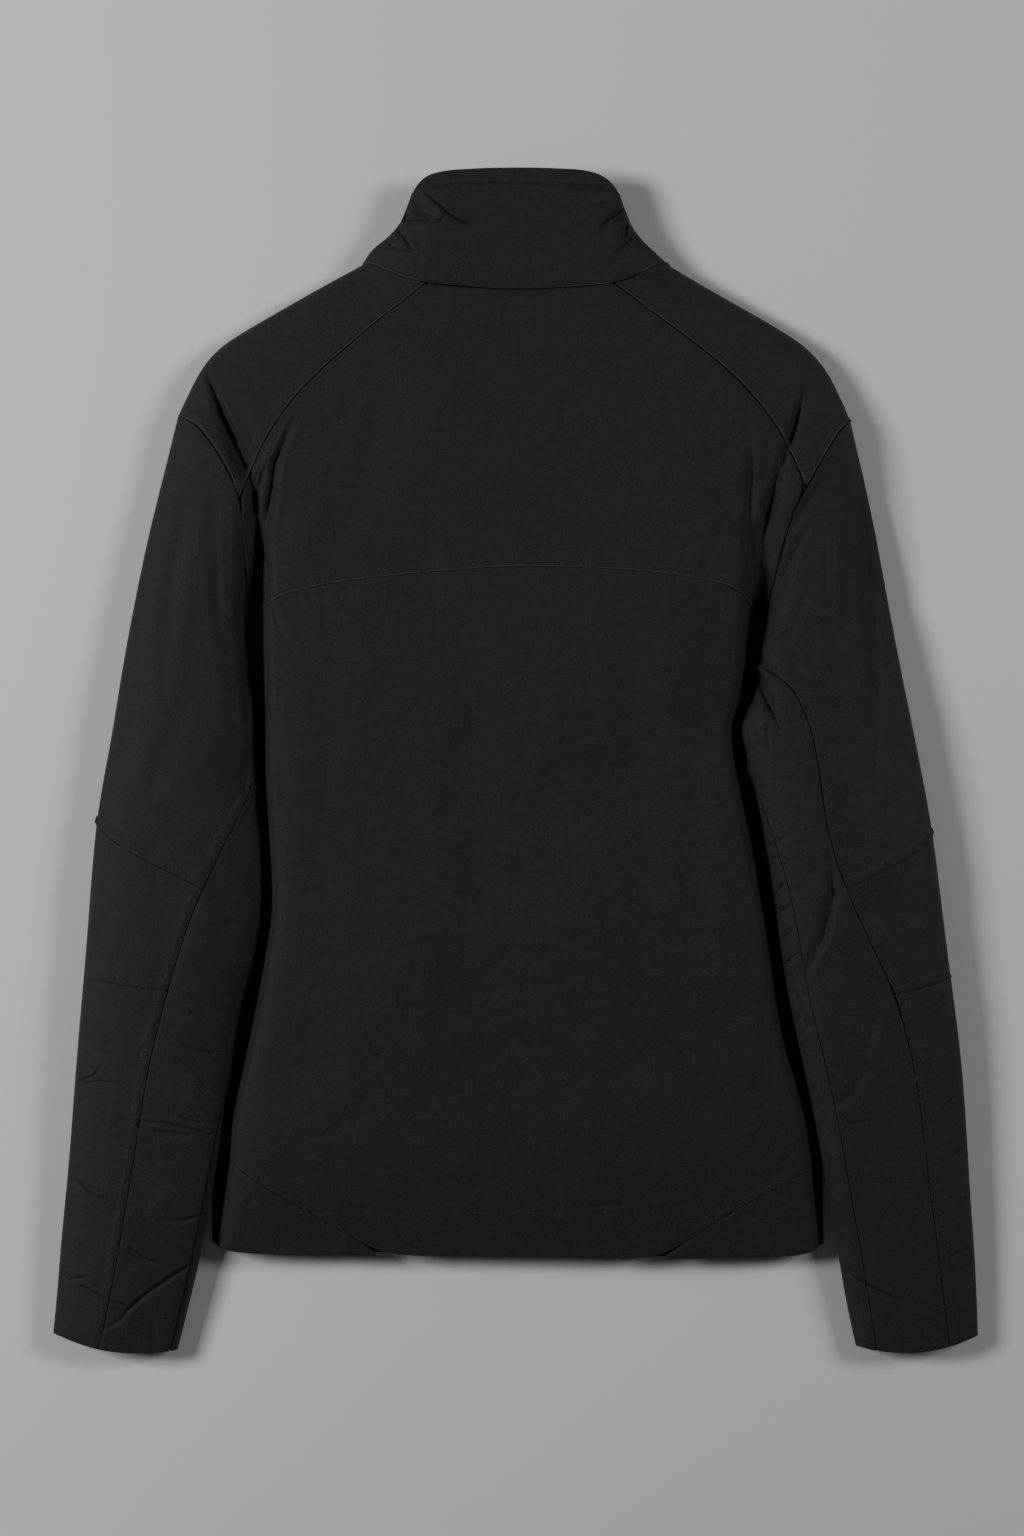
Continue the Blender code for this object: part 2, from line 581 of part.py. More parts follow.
def back_lower():
    def place(column, share):
        return back_point(column, mix(column_end(column, hem_seam), yoke_end(column), share))
    top = Ease(first=1.0, last=1.0, fade=11)
    return cloth_panel("back_lower", place, back_columns(), steps(0, 1, LOWER_ROWS),
                       ease=(NO_EASE, NO_EASE, NO_EASE, top))


def hem_corner(side):
    """Corner piece from the side to the blunt end of its point, where the slanting seam meets the hem."""
    tip = HEM_SLANT[side][-1] if side == "left" else HEM_SLANT[side][0]
    sign = -1 if side == "left" else 1
    blunt = crown_share(tip.x + sign * CORNER_BLUNT, tip.y)
    columns = [c for c in back_columns() if beside(side, c, tip.x)]
    columns = columns + [blunt] if side == "left" else [blunt] + columns

    def place(column, share):
        low = column_end(column, lambda x: table_value(HEM_EDGE, "x", "y", x))
        return back_point(column, mix(low, column_end(column, hem_seam), share))
    return cloth_panel("hem_corner_" + side, place, columns, steps(0, 1, CORNER_ROWS))


def beside(side, column, tip_x):
    """Whether a column of the back lies between the side and the slanting seam's lower end."""
    x = back_point(column, column_end(column, hem_seam)).x
    return x < tip_x - 2 * CORNER_BLUNT if side == "left" else x > tip_x + 2 * CORNER_BLUNT


def yoke_side(side, row):
    """Point of the yoke's side edge: down the slanting seam, then down the armhole."""
    if row <= SLANT_ROWS:
        p = along(SLANT_SEAM[side], row / SLANT_ROWS)
        return Vector((p.x, p.y, shoulder_height(side, p.x, p.y)))
    share = mix(slant_share(side), UNDERARM_STOP, (row - SLANT_ROWS) / ARMHOLE_ROWS)
    return armhole_top(side, share)


def back_yoke():
    columns = back_columns()[len(SIDE_UNDER) - 1:-len(SIDE_UNDER) + 1]
    bottom = [back_point(c, yoke_end(c)) for c in columns]
    last = SLANT_ROWS + ARMHOLE_ROWS
    bottom[0], bottom[-1] = yoke_side("left", last), yoke_side("right", last)
    shares = [(p.x - bottom[0].x) / (bottom[-1].x - bottom[0].x) for p in bottom]
    neck0, neck1 = SLANT_SEAM["left"][0].x, SLANT_SEAM["right"][0].x

    def place(i, row):
        share, down = shares[i], row / last
        left, right = yoke_side("left", row), yoke_side("right", row)
        x = mix(neck0, neck1, share)
        top = Vector((x, table_value(NECK_BACK, "x", "y", x), 0))
        corner = [yoke_side("left", 0), yoke_side("right", 0), bottom[0], bottom[-1]]
        flat = (mix(top, bottom[i], down) + mix(left, right, share)
                - mix(mix(corner[0], corner[1], share), mix(corner[2], corner[3], share), down))
        if i == 0 or i == len(columns) - 1:
            return left if i == 0 else right
        if row == last:
            return bottom[i]
        side = "left" if flat.x < 0 else "right"
        blend = smooth((down - 0.8) / 0.2)
        crown = shoulder_height(side, flat.x, flat.y)
        return Vector((flat.x, flat.y, mix(crown, min(crown, bottom[i].z), blend)))
    return cloth_panel("back_yoke", place, list(range(len(columns))), list(range(last, -1, -1)),
                       ease=(Ease(0.3, 0.5), Ease(0.3, 0.5), Ease(0, 0.6, 0.6, 5), NO_EASE))


SHOULDER_INSETS = [-SHOULDER_UNDER, -7.0, -2.5, 0.0, 2.5, 9.0, 20.0]   # minus is turned under
SHOULDER_SHARES = [0.72, 0.93, 1.0]     # columns further in, as shares of the way to the slanting seam


def shoulder_share(side, column, row=None):
    """Share of the way from the shoulder line to the slanting seam for a column of the shoulder piece."""
    if column in SHOULDER_SHARES:
        return column
    down = 1 if row is None else row / SLANT_ROWS
    outer, seam = along(SHOULDER_LINE[side], down), along(SLANT_SEAM[side], down)
    return abs(column) / math.hypot(seam.x - outer.x, seam.y - outer.y)


def shoulder_point(side, column, row):
    """Point of the shoulder piece: its column is an inset from the shoulder line, or one of the shares."""
    down = row / SLANT_ROWS
    outer = along(SHOULDER_LINE[side], down)
    seam = along(SLANT_SEAM[side], down)
    share = shoulder_share(side, column, row)
    x, y = mix(outer.x, seam.x, share), mix(outer.y, seam.y, share)
    neck_x = mix(SHOULDER_LINE[side][0].x, SLANT_SEAM[side][0].x, share)
    neck_y = table_value(NECK_BACK, "x", "y", neck_x)
    end = along(ARMHOLE[side], share * slant_share(side))
    first, last = SHOULDER_LINE[side], SLANT_SEAM[side]
    near, far = (1 - down) ** 3, down ** 3
    x += near * (neck_x - mix(first[0].x, last[0].x, share))
    y += near * (neck_y - mix(first[0].y, last[0].y, share))
    x += far * (end.x - mix(first[-1].x, last[-1].x, share))
    y += far * (end.y - mix(first[-1].y, last[-1].y, share))
    if column < 0:
        return Vector((x, y, under_edge(-column, SHOULDER_EDGE)))
    if column == 0:
        return Vector((x, y, SHOULDER_EDGE))
    return Vector((x, y, shoulder_height(side, x, y)))


def shoulder(side):
    def place(column, row):
        return shoulder_point(side, column, row)
    return cloth_panel("shoulder_" + side, place, SHOULDER_INSETS + SHOULDER_SHARES,
                       list(range(SLANT_ROWS, -1, -1)), ease=(NO_EASE, NO_EASE, Ease(0.3), Ease(0.1, 0.4)))


FRONT_EASE = 1.1         # extra gap of the front at the neck and armhole, where its neighbours bend up


def front(side):
    """Front: a flat outline inside the turned-under edges, up to the zip."""
    sign = -1 if side == "left" else 1
    centre = sign * (CHAIN_WIDTH / 2 + SEAM_GAP)
    under = (side, SIDE_UNDER[0])

    def hem(x):
        return table_value(HEM_EDGE, "x", "y", x)
    outline = [Vector((centre, hem(centre))), Vector((centre, NECK_FRONT[0].y))]
    square = len(outline)
    neck = [collar_point(turn, 0).xy for turn in collar_turns() if (turn < 0 if side == "left" else turn > 1)]
    outline += [p for p in sorted(neck, key=lambda p: abs(p.x)) if 5 < abs(p.x) < 98]
    outline += [shoulder_point(side, -SHOULDER_UNDER, r).xy for r in range(SLANT_ROWS + 1)]
    turns = sorted({round(t if t > 1 else 2 + t, 6) for t in ring_turns(side) if t > 0.999 or t < -0.001})
    first = 2 - across_to_turn(shoulder_share(side, -SHOULDER_UNDER) * slant_share(side))
    outline += [sleeve_point(side, 0, turn).xy for turn in reversed(turns) if turn < first - 0.01]
    bent = len(outline)
    low, high = column_end(under, hem_seam), yoke_end(under)
    outline += [back_point(under, y).xy for y in steps(high, low, LOWER_ROWS)]
    bottom = column_end(under, hem)
    outline += [back_point(under, y).xy for y in steps(low, bottom, CORNER_ROWS)[1:]]
    outline += [Vector((x, hem(x))) for x in steps(outline[-1].x, centre, 4)[1:-1]]
    count = len(outline)
    shape = bpy.data.curves.new("front_" + side, "CURVE")
    shape.dimensions = "2D"
    shape.fill_mode = "BOTH"
    shape.extrude = WALL / 2 * MM
    spline = shape.splines.new("POLY")
    spline.points.add(count - 1)
    for i, point in enumerate(outline):
        chord = outline[(i + 1) % count] - outline[i - 1]
        gap = SEAM_GAP / 2 + (FRONT_EASE if square <= i < bent else 0)
        inward = Vector((-chord.y, chord.x)).normalized() * (-sign * gap)
        spline.points[i].co = (*((point + inward) * MM), 0, 1)
    spline.use_cyclic_u = True
    panel = finish(bpy.data.objects.new("front_" + side, shape), "softshell")
    panel.location.z = LAID * MM
    return panel


# ---- collar, sleeves and zip ---------------------------------------------------------------------

def collar_turns():
    """Half turns of the collar's columns, which meet those of the shoulder pieces at the neck seam."""
    half = SHOULDER_LINE["right"][0].x
    centre = CHAIN_WIDTH / 2 + SEAM_GAP / 2
    over = []
    under = []
    for column in SHOULDER_INSETS + SHOULDER_SHARES:
        share = shoulder_share("left", column, 0)
        inset = share * abs(SLANT_SEAM["left"][0].x - SHOULDER_LINE["left"][0].x)
        if column < 0:
            under.append(across_to_turn(inset / (half - centre) / 2))
        else:
            over.append(across_to_turn(inset / half / 2))
    under = [0.5, 0.4, 0.31] + under
    back = over + [0.5] + [1 - t for t in reversed(over)]
    between = [t for t in (0.405, 0.45) if t > over[-1] + 0.02]
    back = sorted(set(back + between + [1 - t for t in between]))
    return [-t for t in under] + back + [1 + t for t in reversed(under)]


def collar():
    return cloth_panel("collar", collar_point, collar_turns(), steps(0, 1, 6),
                       ease=(NO_EASE, NO_EASE, Ease(0.2, 0.5, 0.5), NO_EASE))


BACK_SHARES = [0, 0.07, 0.25, 0.5, 0.75, 0.93, 1]
UNDER_SHARES = [0, 0.06, 0.2, 0.36, 0.52, 0.68, 0.84, 1]
OUTER_EASE = (Ease(0.15), Ease(0.2), NO_EASE, NO_EASE)
UPPER_EASE = (Ease(0.15, 0.7), Ease(0.2), Ease(0.3, 0.5), NO_EASE)


def upper_turns(side):
    """Half turns of the outer sleeve's columns at the armhole, where they meet those of the body's panels."""
    back = SEAM_TURNS[side][0].back_seam
    junction = slant_share(side)
    turns = [-SLEEVE_UNDER]
    for column in SHOULDER_INSETS + SHOULDER_SHARES:
        turn = across_to_turn(shoulder_share(side, column) * junction)
        turns.append(-turn if column < 0 else turn)
    turns += [across_to_turn(share) for share in steps(junction, UNDERARM_STOP, ARMHOLE_ROWS)[1:]]
    return turns + [1, back - 0.05, back]


def ring_turns(side):
    """Half turns of all the sleeve's columns at the armhole."""
    first = SEAM_TURNS[side][0]
    turns = upper_turns(side)
    turns += [mix(first.back_seam, first.underarm_seam, s) for s in BACK_SHARES]
    return turns + [mix(first.underarm_seam, 2 - SLEEVE_UNDER, s) for s in UNDER_SHARES]


def sleeve(side):
    """The five panels of a sleeve, between its lengthwise and crosswise seams."""
    turns = SEAM_TURNS[side]
    (elbow, forearm) = CROSS_SEAMS[side]

    def outer_place(start, end):
        def place(share, down):
            guess = 0.0
            back = 1.0
            for _ in range(6):
                across = min(max(share * (SLEEVE_UNDER + back) - SLEEVE_UNDER, 0) / back, 1)
                guess = mix(mix(start[0], start[1], across), mix(end[0], end[1], across), down)
                back = table_value(turns, "row", "back_seam", guess)
            turn = mix(-SLEEVE_UNDER, back, share)
            return sleeve_point(side, guess, turn)
        return place

    spans = [("upper", (0, 0), elbow, 9), ("elbow", elbow, forearm, 3),
             ("forearm", forearm, (LAST_ROW, LAST_ROW), 7)]
    around = upper_turns(side)
    shares = [(turn - around[0]) / (around[-1] - around[0]) for turn in around]
    for name, start, end, count in spans:
        cloth_panel("sleeve_%s_%s" % (name, side), outer_place(start, end), list(reversed(shares)),
                    steps(0, 1, count), ease=UPPER_EASE if name == "upper" else OUTER_EASE)

    stations = []
    for name, start, end, count in spans:
        stations += steps(start[1], end[1], count)[:-1]
    stations.append(LAST_ROW)

    def back_place(share, row):
        a = table_value(turns, "row", "back_seam", row)
        b = table_value(turns, "row", "underarm_seam", row)
        return sleeve_point(side, row, mix(a, b, share))

    def under_place(share, row):
        a = table_value(turns, "row", "underarm_seam", row)
        return sleeve_point(side, row, mix(a, 2 - SLEEVE_UNDER, share))
    cloth_panel("sleeve_back_" + side, back_place, list(reversed(BACK_SHARES)), stations,
                ease=(Ease(0.15, 0.3), Ease(0.15, 0.7), Ease(0.2, 0.3, 0.5), NO_EASE))
    cloth_panel("sleeve_under_" + side, under_place, list(reversed(UNDER_SHARES)), stations,
                ease=(Ease(0.1), Ease(0.15, 0.3), Ease(0.2, 0, 0.3), NO_EASE))


ZIP_TOP = 0.86           # share of the collar's front height where the closed slider sits


def zip_line(y):
    """Height of the middle of the zip above the surface."""
    low, high = NECK_FRONT[0].y, COLLAR_TOP_FRONT[0].y
    up = min(max((y - low) / (high - low), 0.0), 1.0)
    return CHAIN_THICK / 2 + COLLAR_HEIGHT_FRONT * up ** 1.2


def zip_chain():
    """The closed chain in two lengths: flat between the fronts, and climbing between the collar's ends."""
    low = table_value(HEM_EDGE, "x", "y", 0) + 3
    neck = NECK_FRONT[0].y
    top = mix(neck, COLLAR_TOP_FRONT[0].y, ZIP_TOP)
    half = CHAIN_WIDTH / 2

    def place(x, y):
        return Vector((x, y, zip_line(y)))
    for name, rows in (("zip_chain", steps(low, neck, 6)), ("zip_chain_collar", steps(neck, top, 6))):
        cloth_panel(name, place, [-half, half], rows, wall=CHAIN_THICK, kind="zip_nylon")


SLIDER_WIDTH, SLIDER_LENGTH, SLIDER_PLATE = 9.0, 10.0, 1.3
PULL_WIDTH, PULL_LENGTH, PULL_THICK = 6.0, 24.0, 1.2
BRIDGE_RISE = 0.95       # the tab's axis above the slider's plate
PULL_END = 0.6           # the tab's end past its axis


def block(name, centre, size, frame):
    """A box of a size in millimetres, at a place in the slider's own frame."""
    bm = bmesh.new()
    bmesh.ops.create_cube(bm, size=MM)
    bmesh.ops.scale(bm, vec=size, verts=bm.verts)
    bmesh.ops.translate(bm, vec=Vector(centre) * MM, verts=bm.verts)
    mesh = bpy.data.meshes.new(name)
    bm.to_mesh(mesh)
    bm.free()
    obj = bpy.data.objects.new(name, mesh)
    obj.parent = frame
    return obj


def combine(base, operation, other):
    """Adds or takes away a helper shape, which stays hidden in the cutters' collection."""
    tools.objects.link(other)
    other.hide_render = True
    other.display_type = "WIRE"
    step = base.modifiers.new(other.name, "BOOLEAN")
    step.operation = operation
    step.object = other
    return base


def zip_slider_and_pull():
    """Closed slider at the top of the zip, and its pull tab on a cross axle."""
    top = mix(NECK_FRONT[0].y, COLLAR_TOP_FRONT[0].y, ZIP_TOP)
    slope = math.atan2(zip_line(top) - zip_line(top - 10), 10)
    frame = bpy.data.objects.new("slider_frame", None)
    frame.location = Vector((0, top, zip_line(top))) * MM
    frame.rotation_euler.x = slope
    garment.objects.link(frame)
    plate_z = (max(CHAIN_THICK, WALL) + SLIDER_PLATE) / 2 + 0.5
    plate = (SLIDER_WIDTH, SLIDER_LENGTH, SLIDER_PLATE)
    y0 = -SLIDER_LENGTH / 2 + 3.4
    slider = finish(block("zip_slider", (0, y0, -plate_z), plate, frame), "zip_metal")
    combine(slider, "UNION", block("slider_inner", (0, y0, plate_z), plate, frame))
    stem = (CHAIN_WIDTH - 0.6, 2.6, 2 * plate_z)
    combine(slider, "UNION", block("slider_stem", (0, 1.9, 0), stem, frame))
    axle_z = -plate_z - SLIDER_PLATE / 2 - BRIDGE_RISE
    combine(slider, "UNION", block("slider_bridge", (0, y0, axle_z - 0.15), (1.8, 6.4, 3.0), frame))
    combine(slider, "DIFFERENCE", block("bridge_window", (0, y0, axle_z), (4, 4.2, 1.7), frame))
    pull_y = y0 - PULL_LENGTH / 2 + PULL_END
    size = (PULL_WIDTH, PULL_LENGTH, PULL_THICK)
    pull = finish(block("zip_pull", (0, pull_y, axle_z), size, frame), "zip_metal")
    combine(pull, "DIFFERENCE", block("pull_window", (0, y0 - 3.0, axle_z), (2.6, 4.8, 4), frame))


for old in list(bpy.data.objects):
    bpy.data.objects.remove(old, do_unlink=True)
garment = bpy.data.collections.new("softshell_jacket")
tools = bpy.data.collections.new("cutters")
bpy.context.scene.collection.children.link(garment)
bpy.context.scene.collection.children.link(tools)

back_yoke()
back_lower()
collar()
for which in ("left", "right"):
    shoulder(which)
    hem_corner(which)
    front(which)
    sleeve(which)
zip_chain()
zip_slider_and_pull()
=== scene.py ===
"""Looks of a softshell jacket laid flat, back up: creased cloth, sewn seams, the zip and the studio.

Names that end in mm hold millimetres; every other length is in metres. X runs across the garment,
Y from hem to collar and Z up from the surface. Left and right are the wearer's.
"""
import math
from collections import namedtuple

import bmesh
import bpy
import numpy as np
from bpy.props import FloatProperty, FloatVectorProperty, PointerProperty
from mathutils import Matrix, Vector
from mathutils.bvhtree import BVHTree
from mathutils.geometry import delaunay_2d_cdt
from mathutils.kdtree import KDTree


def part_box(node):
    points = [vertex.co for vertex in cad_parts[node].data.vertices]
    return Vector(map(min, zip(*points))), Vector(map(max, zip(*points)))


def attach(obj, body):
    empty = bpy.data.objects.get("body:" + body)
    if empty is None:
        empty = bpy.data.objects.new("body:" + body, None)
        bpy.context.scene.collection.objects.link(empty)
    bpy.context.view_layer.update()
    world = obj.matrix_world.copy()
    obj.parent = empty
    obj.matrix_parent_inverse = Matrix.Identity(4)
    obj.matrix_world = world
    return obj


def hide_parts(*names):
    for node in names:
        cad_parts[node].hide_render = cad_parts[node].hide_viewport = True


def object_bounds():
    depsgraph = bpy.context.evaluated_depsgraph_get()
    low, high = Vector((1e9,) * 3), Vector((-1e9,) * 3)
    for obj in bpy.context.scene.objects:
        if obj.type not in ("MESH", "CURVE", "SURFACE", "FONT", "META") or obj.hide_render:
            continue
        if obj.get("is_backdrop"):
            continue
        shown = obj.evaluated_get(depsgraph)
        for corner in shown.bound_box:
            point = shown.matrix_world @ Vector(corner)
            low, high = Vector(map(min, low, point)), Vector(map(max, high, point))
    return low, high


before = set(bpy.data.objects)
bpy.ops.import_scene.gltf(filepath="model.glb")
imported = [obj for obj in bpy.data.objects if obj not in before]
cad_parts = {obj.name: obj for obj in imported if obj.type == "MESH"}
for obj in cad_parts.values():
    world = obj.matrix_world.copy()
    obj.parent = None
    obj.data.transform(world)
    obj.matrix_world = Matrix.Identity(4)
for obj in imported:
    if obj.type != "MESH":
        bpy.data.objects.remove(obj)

bl_info = {
    "name": "Softshell jacket",
    "version": (1, 0, 0),
    "blender": (4, 5, 0),
    "location": "3D View > Sidebar > Jacket",
    "description": "Dresses the panels of a softshell jacket that lies flat with its back up",
    "category": "Object",
}

MM = 0.001
SIDES = ("left", "right")
BODY = "jacket"

# Flat size of each cloth panel in metres: a box round it, and the area of the panel that is built, as
# the mean of left and right. The area is measured, not taken from a cutting pattern.
Cut = namedtuple("Cut", "width length area")
SLEEVE_PANELS = ("sleeve_upper", "sleeve_elbow", "sleeve_forearm", "sleeve_back", "sleeve_under")

# Creases of the cloth, one row a stretch, in millimetres: where it starts and ends, its half width,
# its depth at both ends (a ridge where it is minus) and which flank is the steeper one: 1 is the
# left of its direction, -1 the right.
Crease = namedtuple("Crease", "x0 y0 x1 y1 width depth0 depth1 lean", defaults=(0,))

def fold(width, lean, *spots):
    """The stretches of one long crease through spots, each with its x, its y and its depth there."""
    return [Crease(*a[:2], *b[:2], width, a[2], b[2], lean) for a, b in zip(spots, spots[1:])]


BODY_CREASES = [
    # left shoulder wedge, down to the armhole
    Crease(-223, 284, -212, 254, 3, 0.6, 6, 0.5), Crease(-212, 254, -202, 231, 4.4, 6, 8.5, 0.5),
    Crease(-202, 231, -193, 212, 6, 8.5, 7, 0.4), Crease(-193, 212, -187, 182, 3.6, 5, 2),
    # the body's edge under the left arm, and under the right arm
    Crease(-183, 178, -182, 146, 4.6, 0.6, 7), Crease(-182, 146, -184, 100, 6, 7, 9),
    Crease(-184, 100, -181, -30, 5.6, 9, 7), Crease(-181, -30, -177, -110, 4.4, 7, 3),
    *fold(4, 0, (-177, -110, 2.5), (-188, -180, 2.5), (-204, -250, 1.5)), Crease(171, 186, 169, 128, 5, 1, 6),
    Crease(169, 128, 167, 66, 6, 6, 8), Crease(166, 66, 157, 25, 4.4, 7.5, 6),
    Crease(157, 25, 166, -40, 4.2, 6, 4.5), *fold(4, 0, (166, -40, 4.5), (184, -130, 3), (198, -220, 2)),
    *fold(5, 0, (-206, 262, 0), (-190, 236, 0.8), (-180, 214, 0)), *fold(3, 0, (-216, 276, 0), (-207, 247, -0.9),
    (-199, 225, 0)),
    # left fold beside it, below the slanting seam
    Crease(-158, 251, -173, 216, 3.4, 0, 3.4, -0.6), Crease(-173, 216, -176, 195, 4, 3.4, 4.2, -0.5),
    Crease(-176, 195, -182, 160, 4.4, 4.2, 3, -0.4), Crease(-167, 240, -170, 205, 3, 0, -0.8),
    Crease(-170, 205, -177, 160, 3.6, -0.8, 0),
    # right shoulder
    Crease(210, 281, 203, 250, 3.4, 0, 4, -0.5), Crease(203, 250, 196, 226, 4.2, 4, 6, -0.5),
    Crease(196, 226, 187, 200, 5, 5, 2.4, -0.4), Crease(187, 200, 180, 168, 4.6, 2.4, 0.4),
    *fold(3.2, 0, (205, 268, 0), (196, 238, -0.8), (190, 214, 0)), Crease(168, 243, 170, 213, 3.6, 0, 2.6, -0.5),
    Crease(170, 213, 168, 176, 4.6, 2.6, 3.6, -0.4), Crease(168, 176, 170, 124, 5.2, 3.6, 3),
    Crease(161, 222, 161, 148, 3.4, -0.4, -1.4), Crease(151, 232, 148, 150, 7, 0, 1),
    Crease(183, 239, 178, 205, 5, 0.6, 0),
    # soft drapes of the yoke
    Crease(-92, 288, -105, 222, 9, 0, 0.7), Crease(-105, 222, -123, 160, 10, 0.7, 0.5),
    Crease(-62, 212, -62, 140, 8, 0, 0.7), Crease(-128, 250, -146, 168, 9, 0, -0.7),
    Crease(58, 230, 72, 150, 12, 0, 0.45), Crease(112, 262, 126, 176, 10, 0, 0.6),
    Crease(-20, 250, -14, 150, 16, 0, 0.4),
    # small puckers under the yoke seam, uneven in length
    Crease(-166, 115, -160, 101, 1.8, 0.4, 0), Crease(-157, 119, -152, 96, 2.2, 0.4, 0),
    Crease(-148, 121, -146, 109, 1.8, 0.3, 0), Crease(-137, 124, -136, 92, 2.8, 0.4, 0),
    Crease(-120, 126, -121, 114, 2.2, 0.3, 0), Crease(-96, 130, -95, 106, 3, 0.3, 0),
    Crease(-58, 133, -60, 98, 4.2, 0.3, 0), Crease(14, 137, 12, 118, 3.2, 0.3, 0),
    Crease(64, 134, 67, 110, 3.4, 0.3, 0), Crease(104, 131, 108, 101, 3.4, 0.4, 0),
    Crease(131, 128, 134, 112, 2.2, 0.4, 0), Crease(147, 123, 149, 96, 2.6, 0.4, 0),
    Crease(157, 119, 157, 105, 1.8, 0.4, 0), Crease(-174, 108, -165, 86, 2.6, 0.8, 0),
    Crease(-120, 146, -120, 134, 2, 0, 0.3), Crease(-141, 140, -139, 129, 2, 0, 0.3),
    # long soft drapes of the lower back
    Crease(-130, 90, -138, -60, 16, 0.3, 0.8), Crease(-138, -60, -148, -210, 18, 0.8, 0.2),
    Crease(-96, 60, -88, -120, 20, 0, -0.6), Crease(-36, 100, -28, -80, 18, 0.3, 0.6),
    Crease(-28, -80, -38, -240, 20, 0.6, 0), Crease(26, 70, 34, -110, 22, 0, -0.5),
    Crease(84, 96, 92, -70, 16, 0.4, 0.7), Crease(92, -70, 82, -260, 18, 0.7, 0.2),
    Crease(136, 84, 132, -90, 14, 0.5, 0.8), Crease(132, -90, 146, -250, 16, 0.8, 0.2),
    Crease(-176, 20, -158, -52, 9, 0.8, 0), Crease(-168, -136, -140, -190, 10, 0.7, 0),
    Crease(-176, -212, -132, -246, 8, 0.8, 0), Crease(150, 40, 134, 6, 7, 0.9, 0),
    Crease(154, -24, 128, -60, 8, 0.8, 0), Crease(168, -170, 136, -214, 9, 0.8, 0),
    Crease(176, -232, 150, -262, 7, 0.7, 0), Crease(-60, -196, 6, -232, 12, 0, 0.5),
    # hem: puckers at its stitching and towards the corners
    Crease(56, -321, 78, -319, 2.4, 0.5, 0.8), Crease(62, -327, 70, -336, 2.2, 0.6, 0),
    Crease(-145, -326, -131, -355, 3, 0.9, 0.2), Crease(-170, -300, -163, -322, 3, 0, 0.6),
    Crease(-112, -306, -109, -324, 2.6, 0, 0.5), Crease(-84, -328, -80, -350, 3, 0.5, 0.1),
    Crease(-46, -310, -44, -325, 2.4, 0, 0.5), Crease(-12, -327, -10, -352, 3, 0.4, 0.1),
    Crease(30, -308, 31, -326, 2.6, 0, 0.5), Crease(96, -313, 99, -328, 2.4, 0, 0.5),
    Crease(118, -330, 122, -354, 3, 0.6, 0.1), Crease(150, -310, 153, -329, 2.6, 0, 0.5),
    Crease(195, -287, 206, -276, 3, 1, 0.2), Crease(184, -302, 172, -330, 3, 0, 0.7),
    Crease(-200, -286, -190, -318, 3.4, 0.4, 0.7), Crease(198, -330, 204, -350, 2.8, 0.6, 0.2),
]
COLLAR_CREASES = [
    *fold(1.9, 0.5, (-65, 409.9, 1.6), (-54.5, 401, 3.4), (-45.7, 393, 3.6), (-38.4, 389, 2.6), (-28, 383.7, 0)),
    Crease(-70, 405, -68, 398, 7, 1.2, 3.4), Crease(-68, 398, -62, 394.4, 6, 3.4, 2.4),
    Crease(-77, 394.6, -79, 391.4, 1.9, 3.4, 4.2), *fold(1.8, 0.5, (-85.9, 389.4, 3.4), (-72.2, 389.6, 3.6),
    (-54.1, 389.8, 2.8)), Crease(-54.1, 389.8, -51.7, 392.2, 1.7, 1.8, 0.6, 0.5),
    Crease(-79.9, 392.6, -76.9, 397.4, 2.4, 2.4, 1.8), Crease(-76.2, 398.2, -71.8, 391.8, 1.3, -0.8, -0.8),
    *fold(2, 0, (-67.6, 412.7, -0.8), (-59.3, 402.2, -1), (-51.7, 393.4, -0.6)),
    Crease(-70.6, 387.6, -57.7, 387.4, 2, -0.6, -0.3), *fold(1.6, 0.4, (-82.7, 386.1, 0.6), (-82.7, 380.5, 1.4),
    (-78.7, 376.5, 1.8), (-75.8, 370.1, 1.6), (-71.4, 367.2, 0.3)), *fold(1.5, 0, (-91.9, 374.9, 1),
    (-89.1, 371.7, 1.3), (-83.5, 368.9, 1.3), (-73.8, 367, 0.6)),
    Crease(-90.7, 376.5, -82.7, 377.9, 1.8, -0.7, -0.9), Crease(-98, 371.5, -90.7, 370.1, 1.5, 1.2, 1.2),
    Crease(-75, 376.5, -71.8, 370.1, 1.4, -0.7, -0.7), Crease(-71.4, 375.7, -67, 370.5, 2.2, 0.5, 0.4),
    *fold(2.8, -0.5, (62.1, 385.3, 1.6), (72.6, 393.8, 3.6), (79, 401, 2.2)), *fold(1.3, 0, (66.1, 386.8, -0.5),
    (72.6, 392.4, -0.9), (79, 396.6, -0.9)), *fold(1.6, 0, (71, 389.8, 1), (75.8, 391.8, 1.5), (79.4, 389.4, 1.5)),
    Crease(81, 394.4, 86, 384.6, 2.8, 3.4, 4.6), Crease(78.2, 389.8, 85.9, 381.7, 1.2, -0.9, -1),
    Crease(79.7, 386.6, 79.7, 378.5, 2, 3.2, 3.4), Crease(77, 384.5, 76.4, 376.5, 1.4, 1, 1),
    *fold(2.2, -0.4, (72.2, 365.6, 0.6), (79, 372.5, 2.8), (83.4, 376.5, 2.8)),
    Crease(41.2, 384.4, 53.3, 388.6, 3.6, 0.5, 0.9), Crease(52.5, 402.2, 62.9, 399.4, 1.6, 0.5, 0.5),
    *fold(1.4, 0, (-62, 413.6, 0.6), (-38, 416, 0.9), (38, 416.2, 0.9), (64, 413.8, 0.5)),
    Crease(-20, 374, 22, 371, 8, 0.4, 0.5), Crease(-40, 366, -6, 382, 7, 0, -0.4),
    Crease(18, 398, 44, 380, 7, 0, 0.5),
]
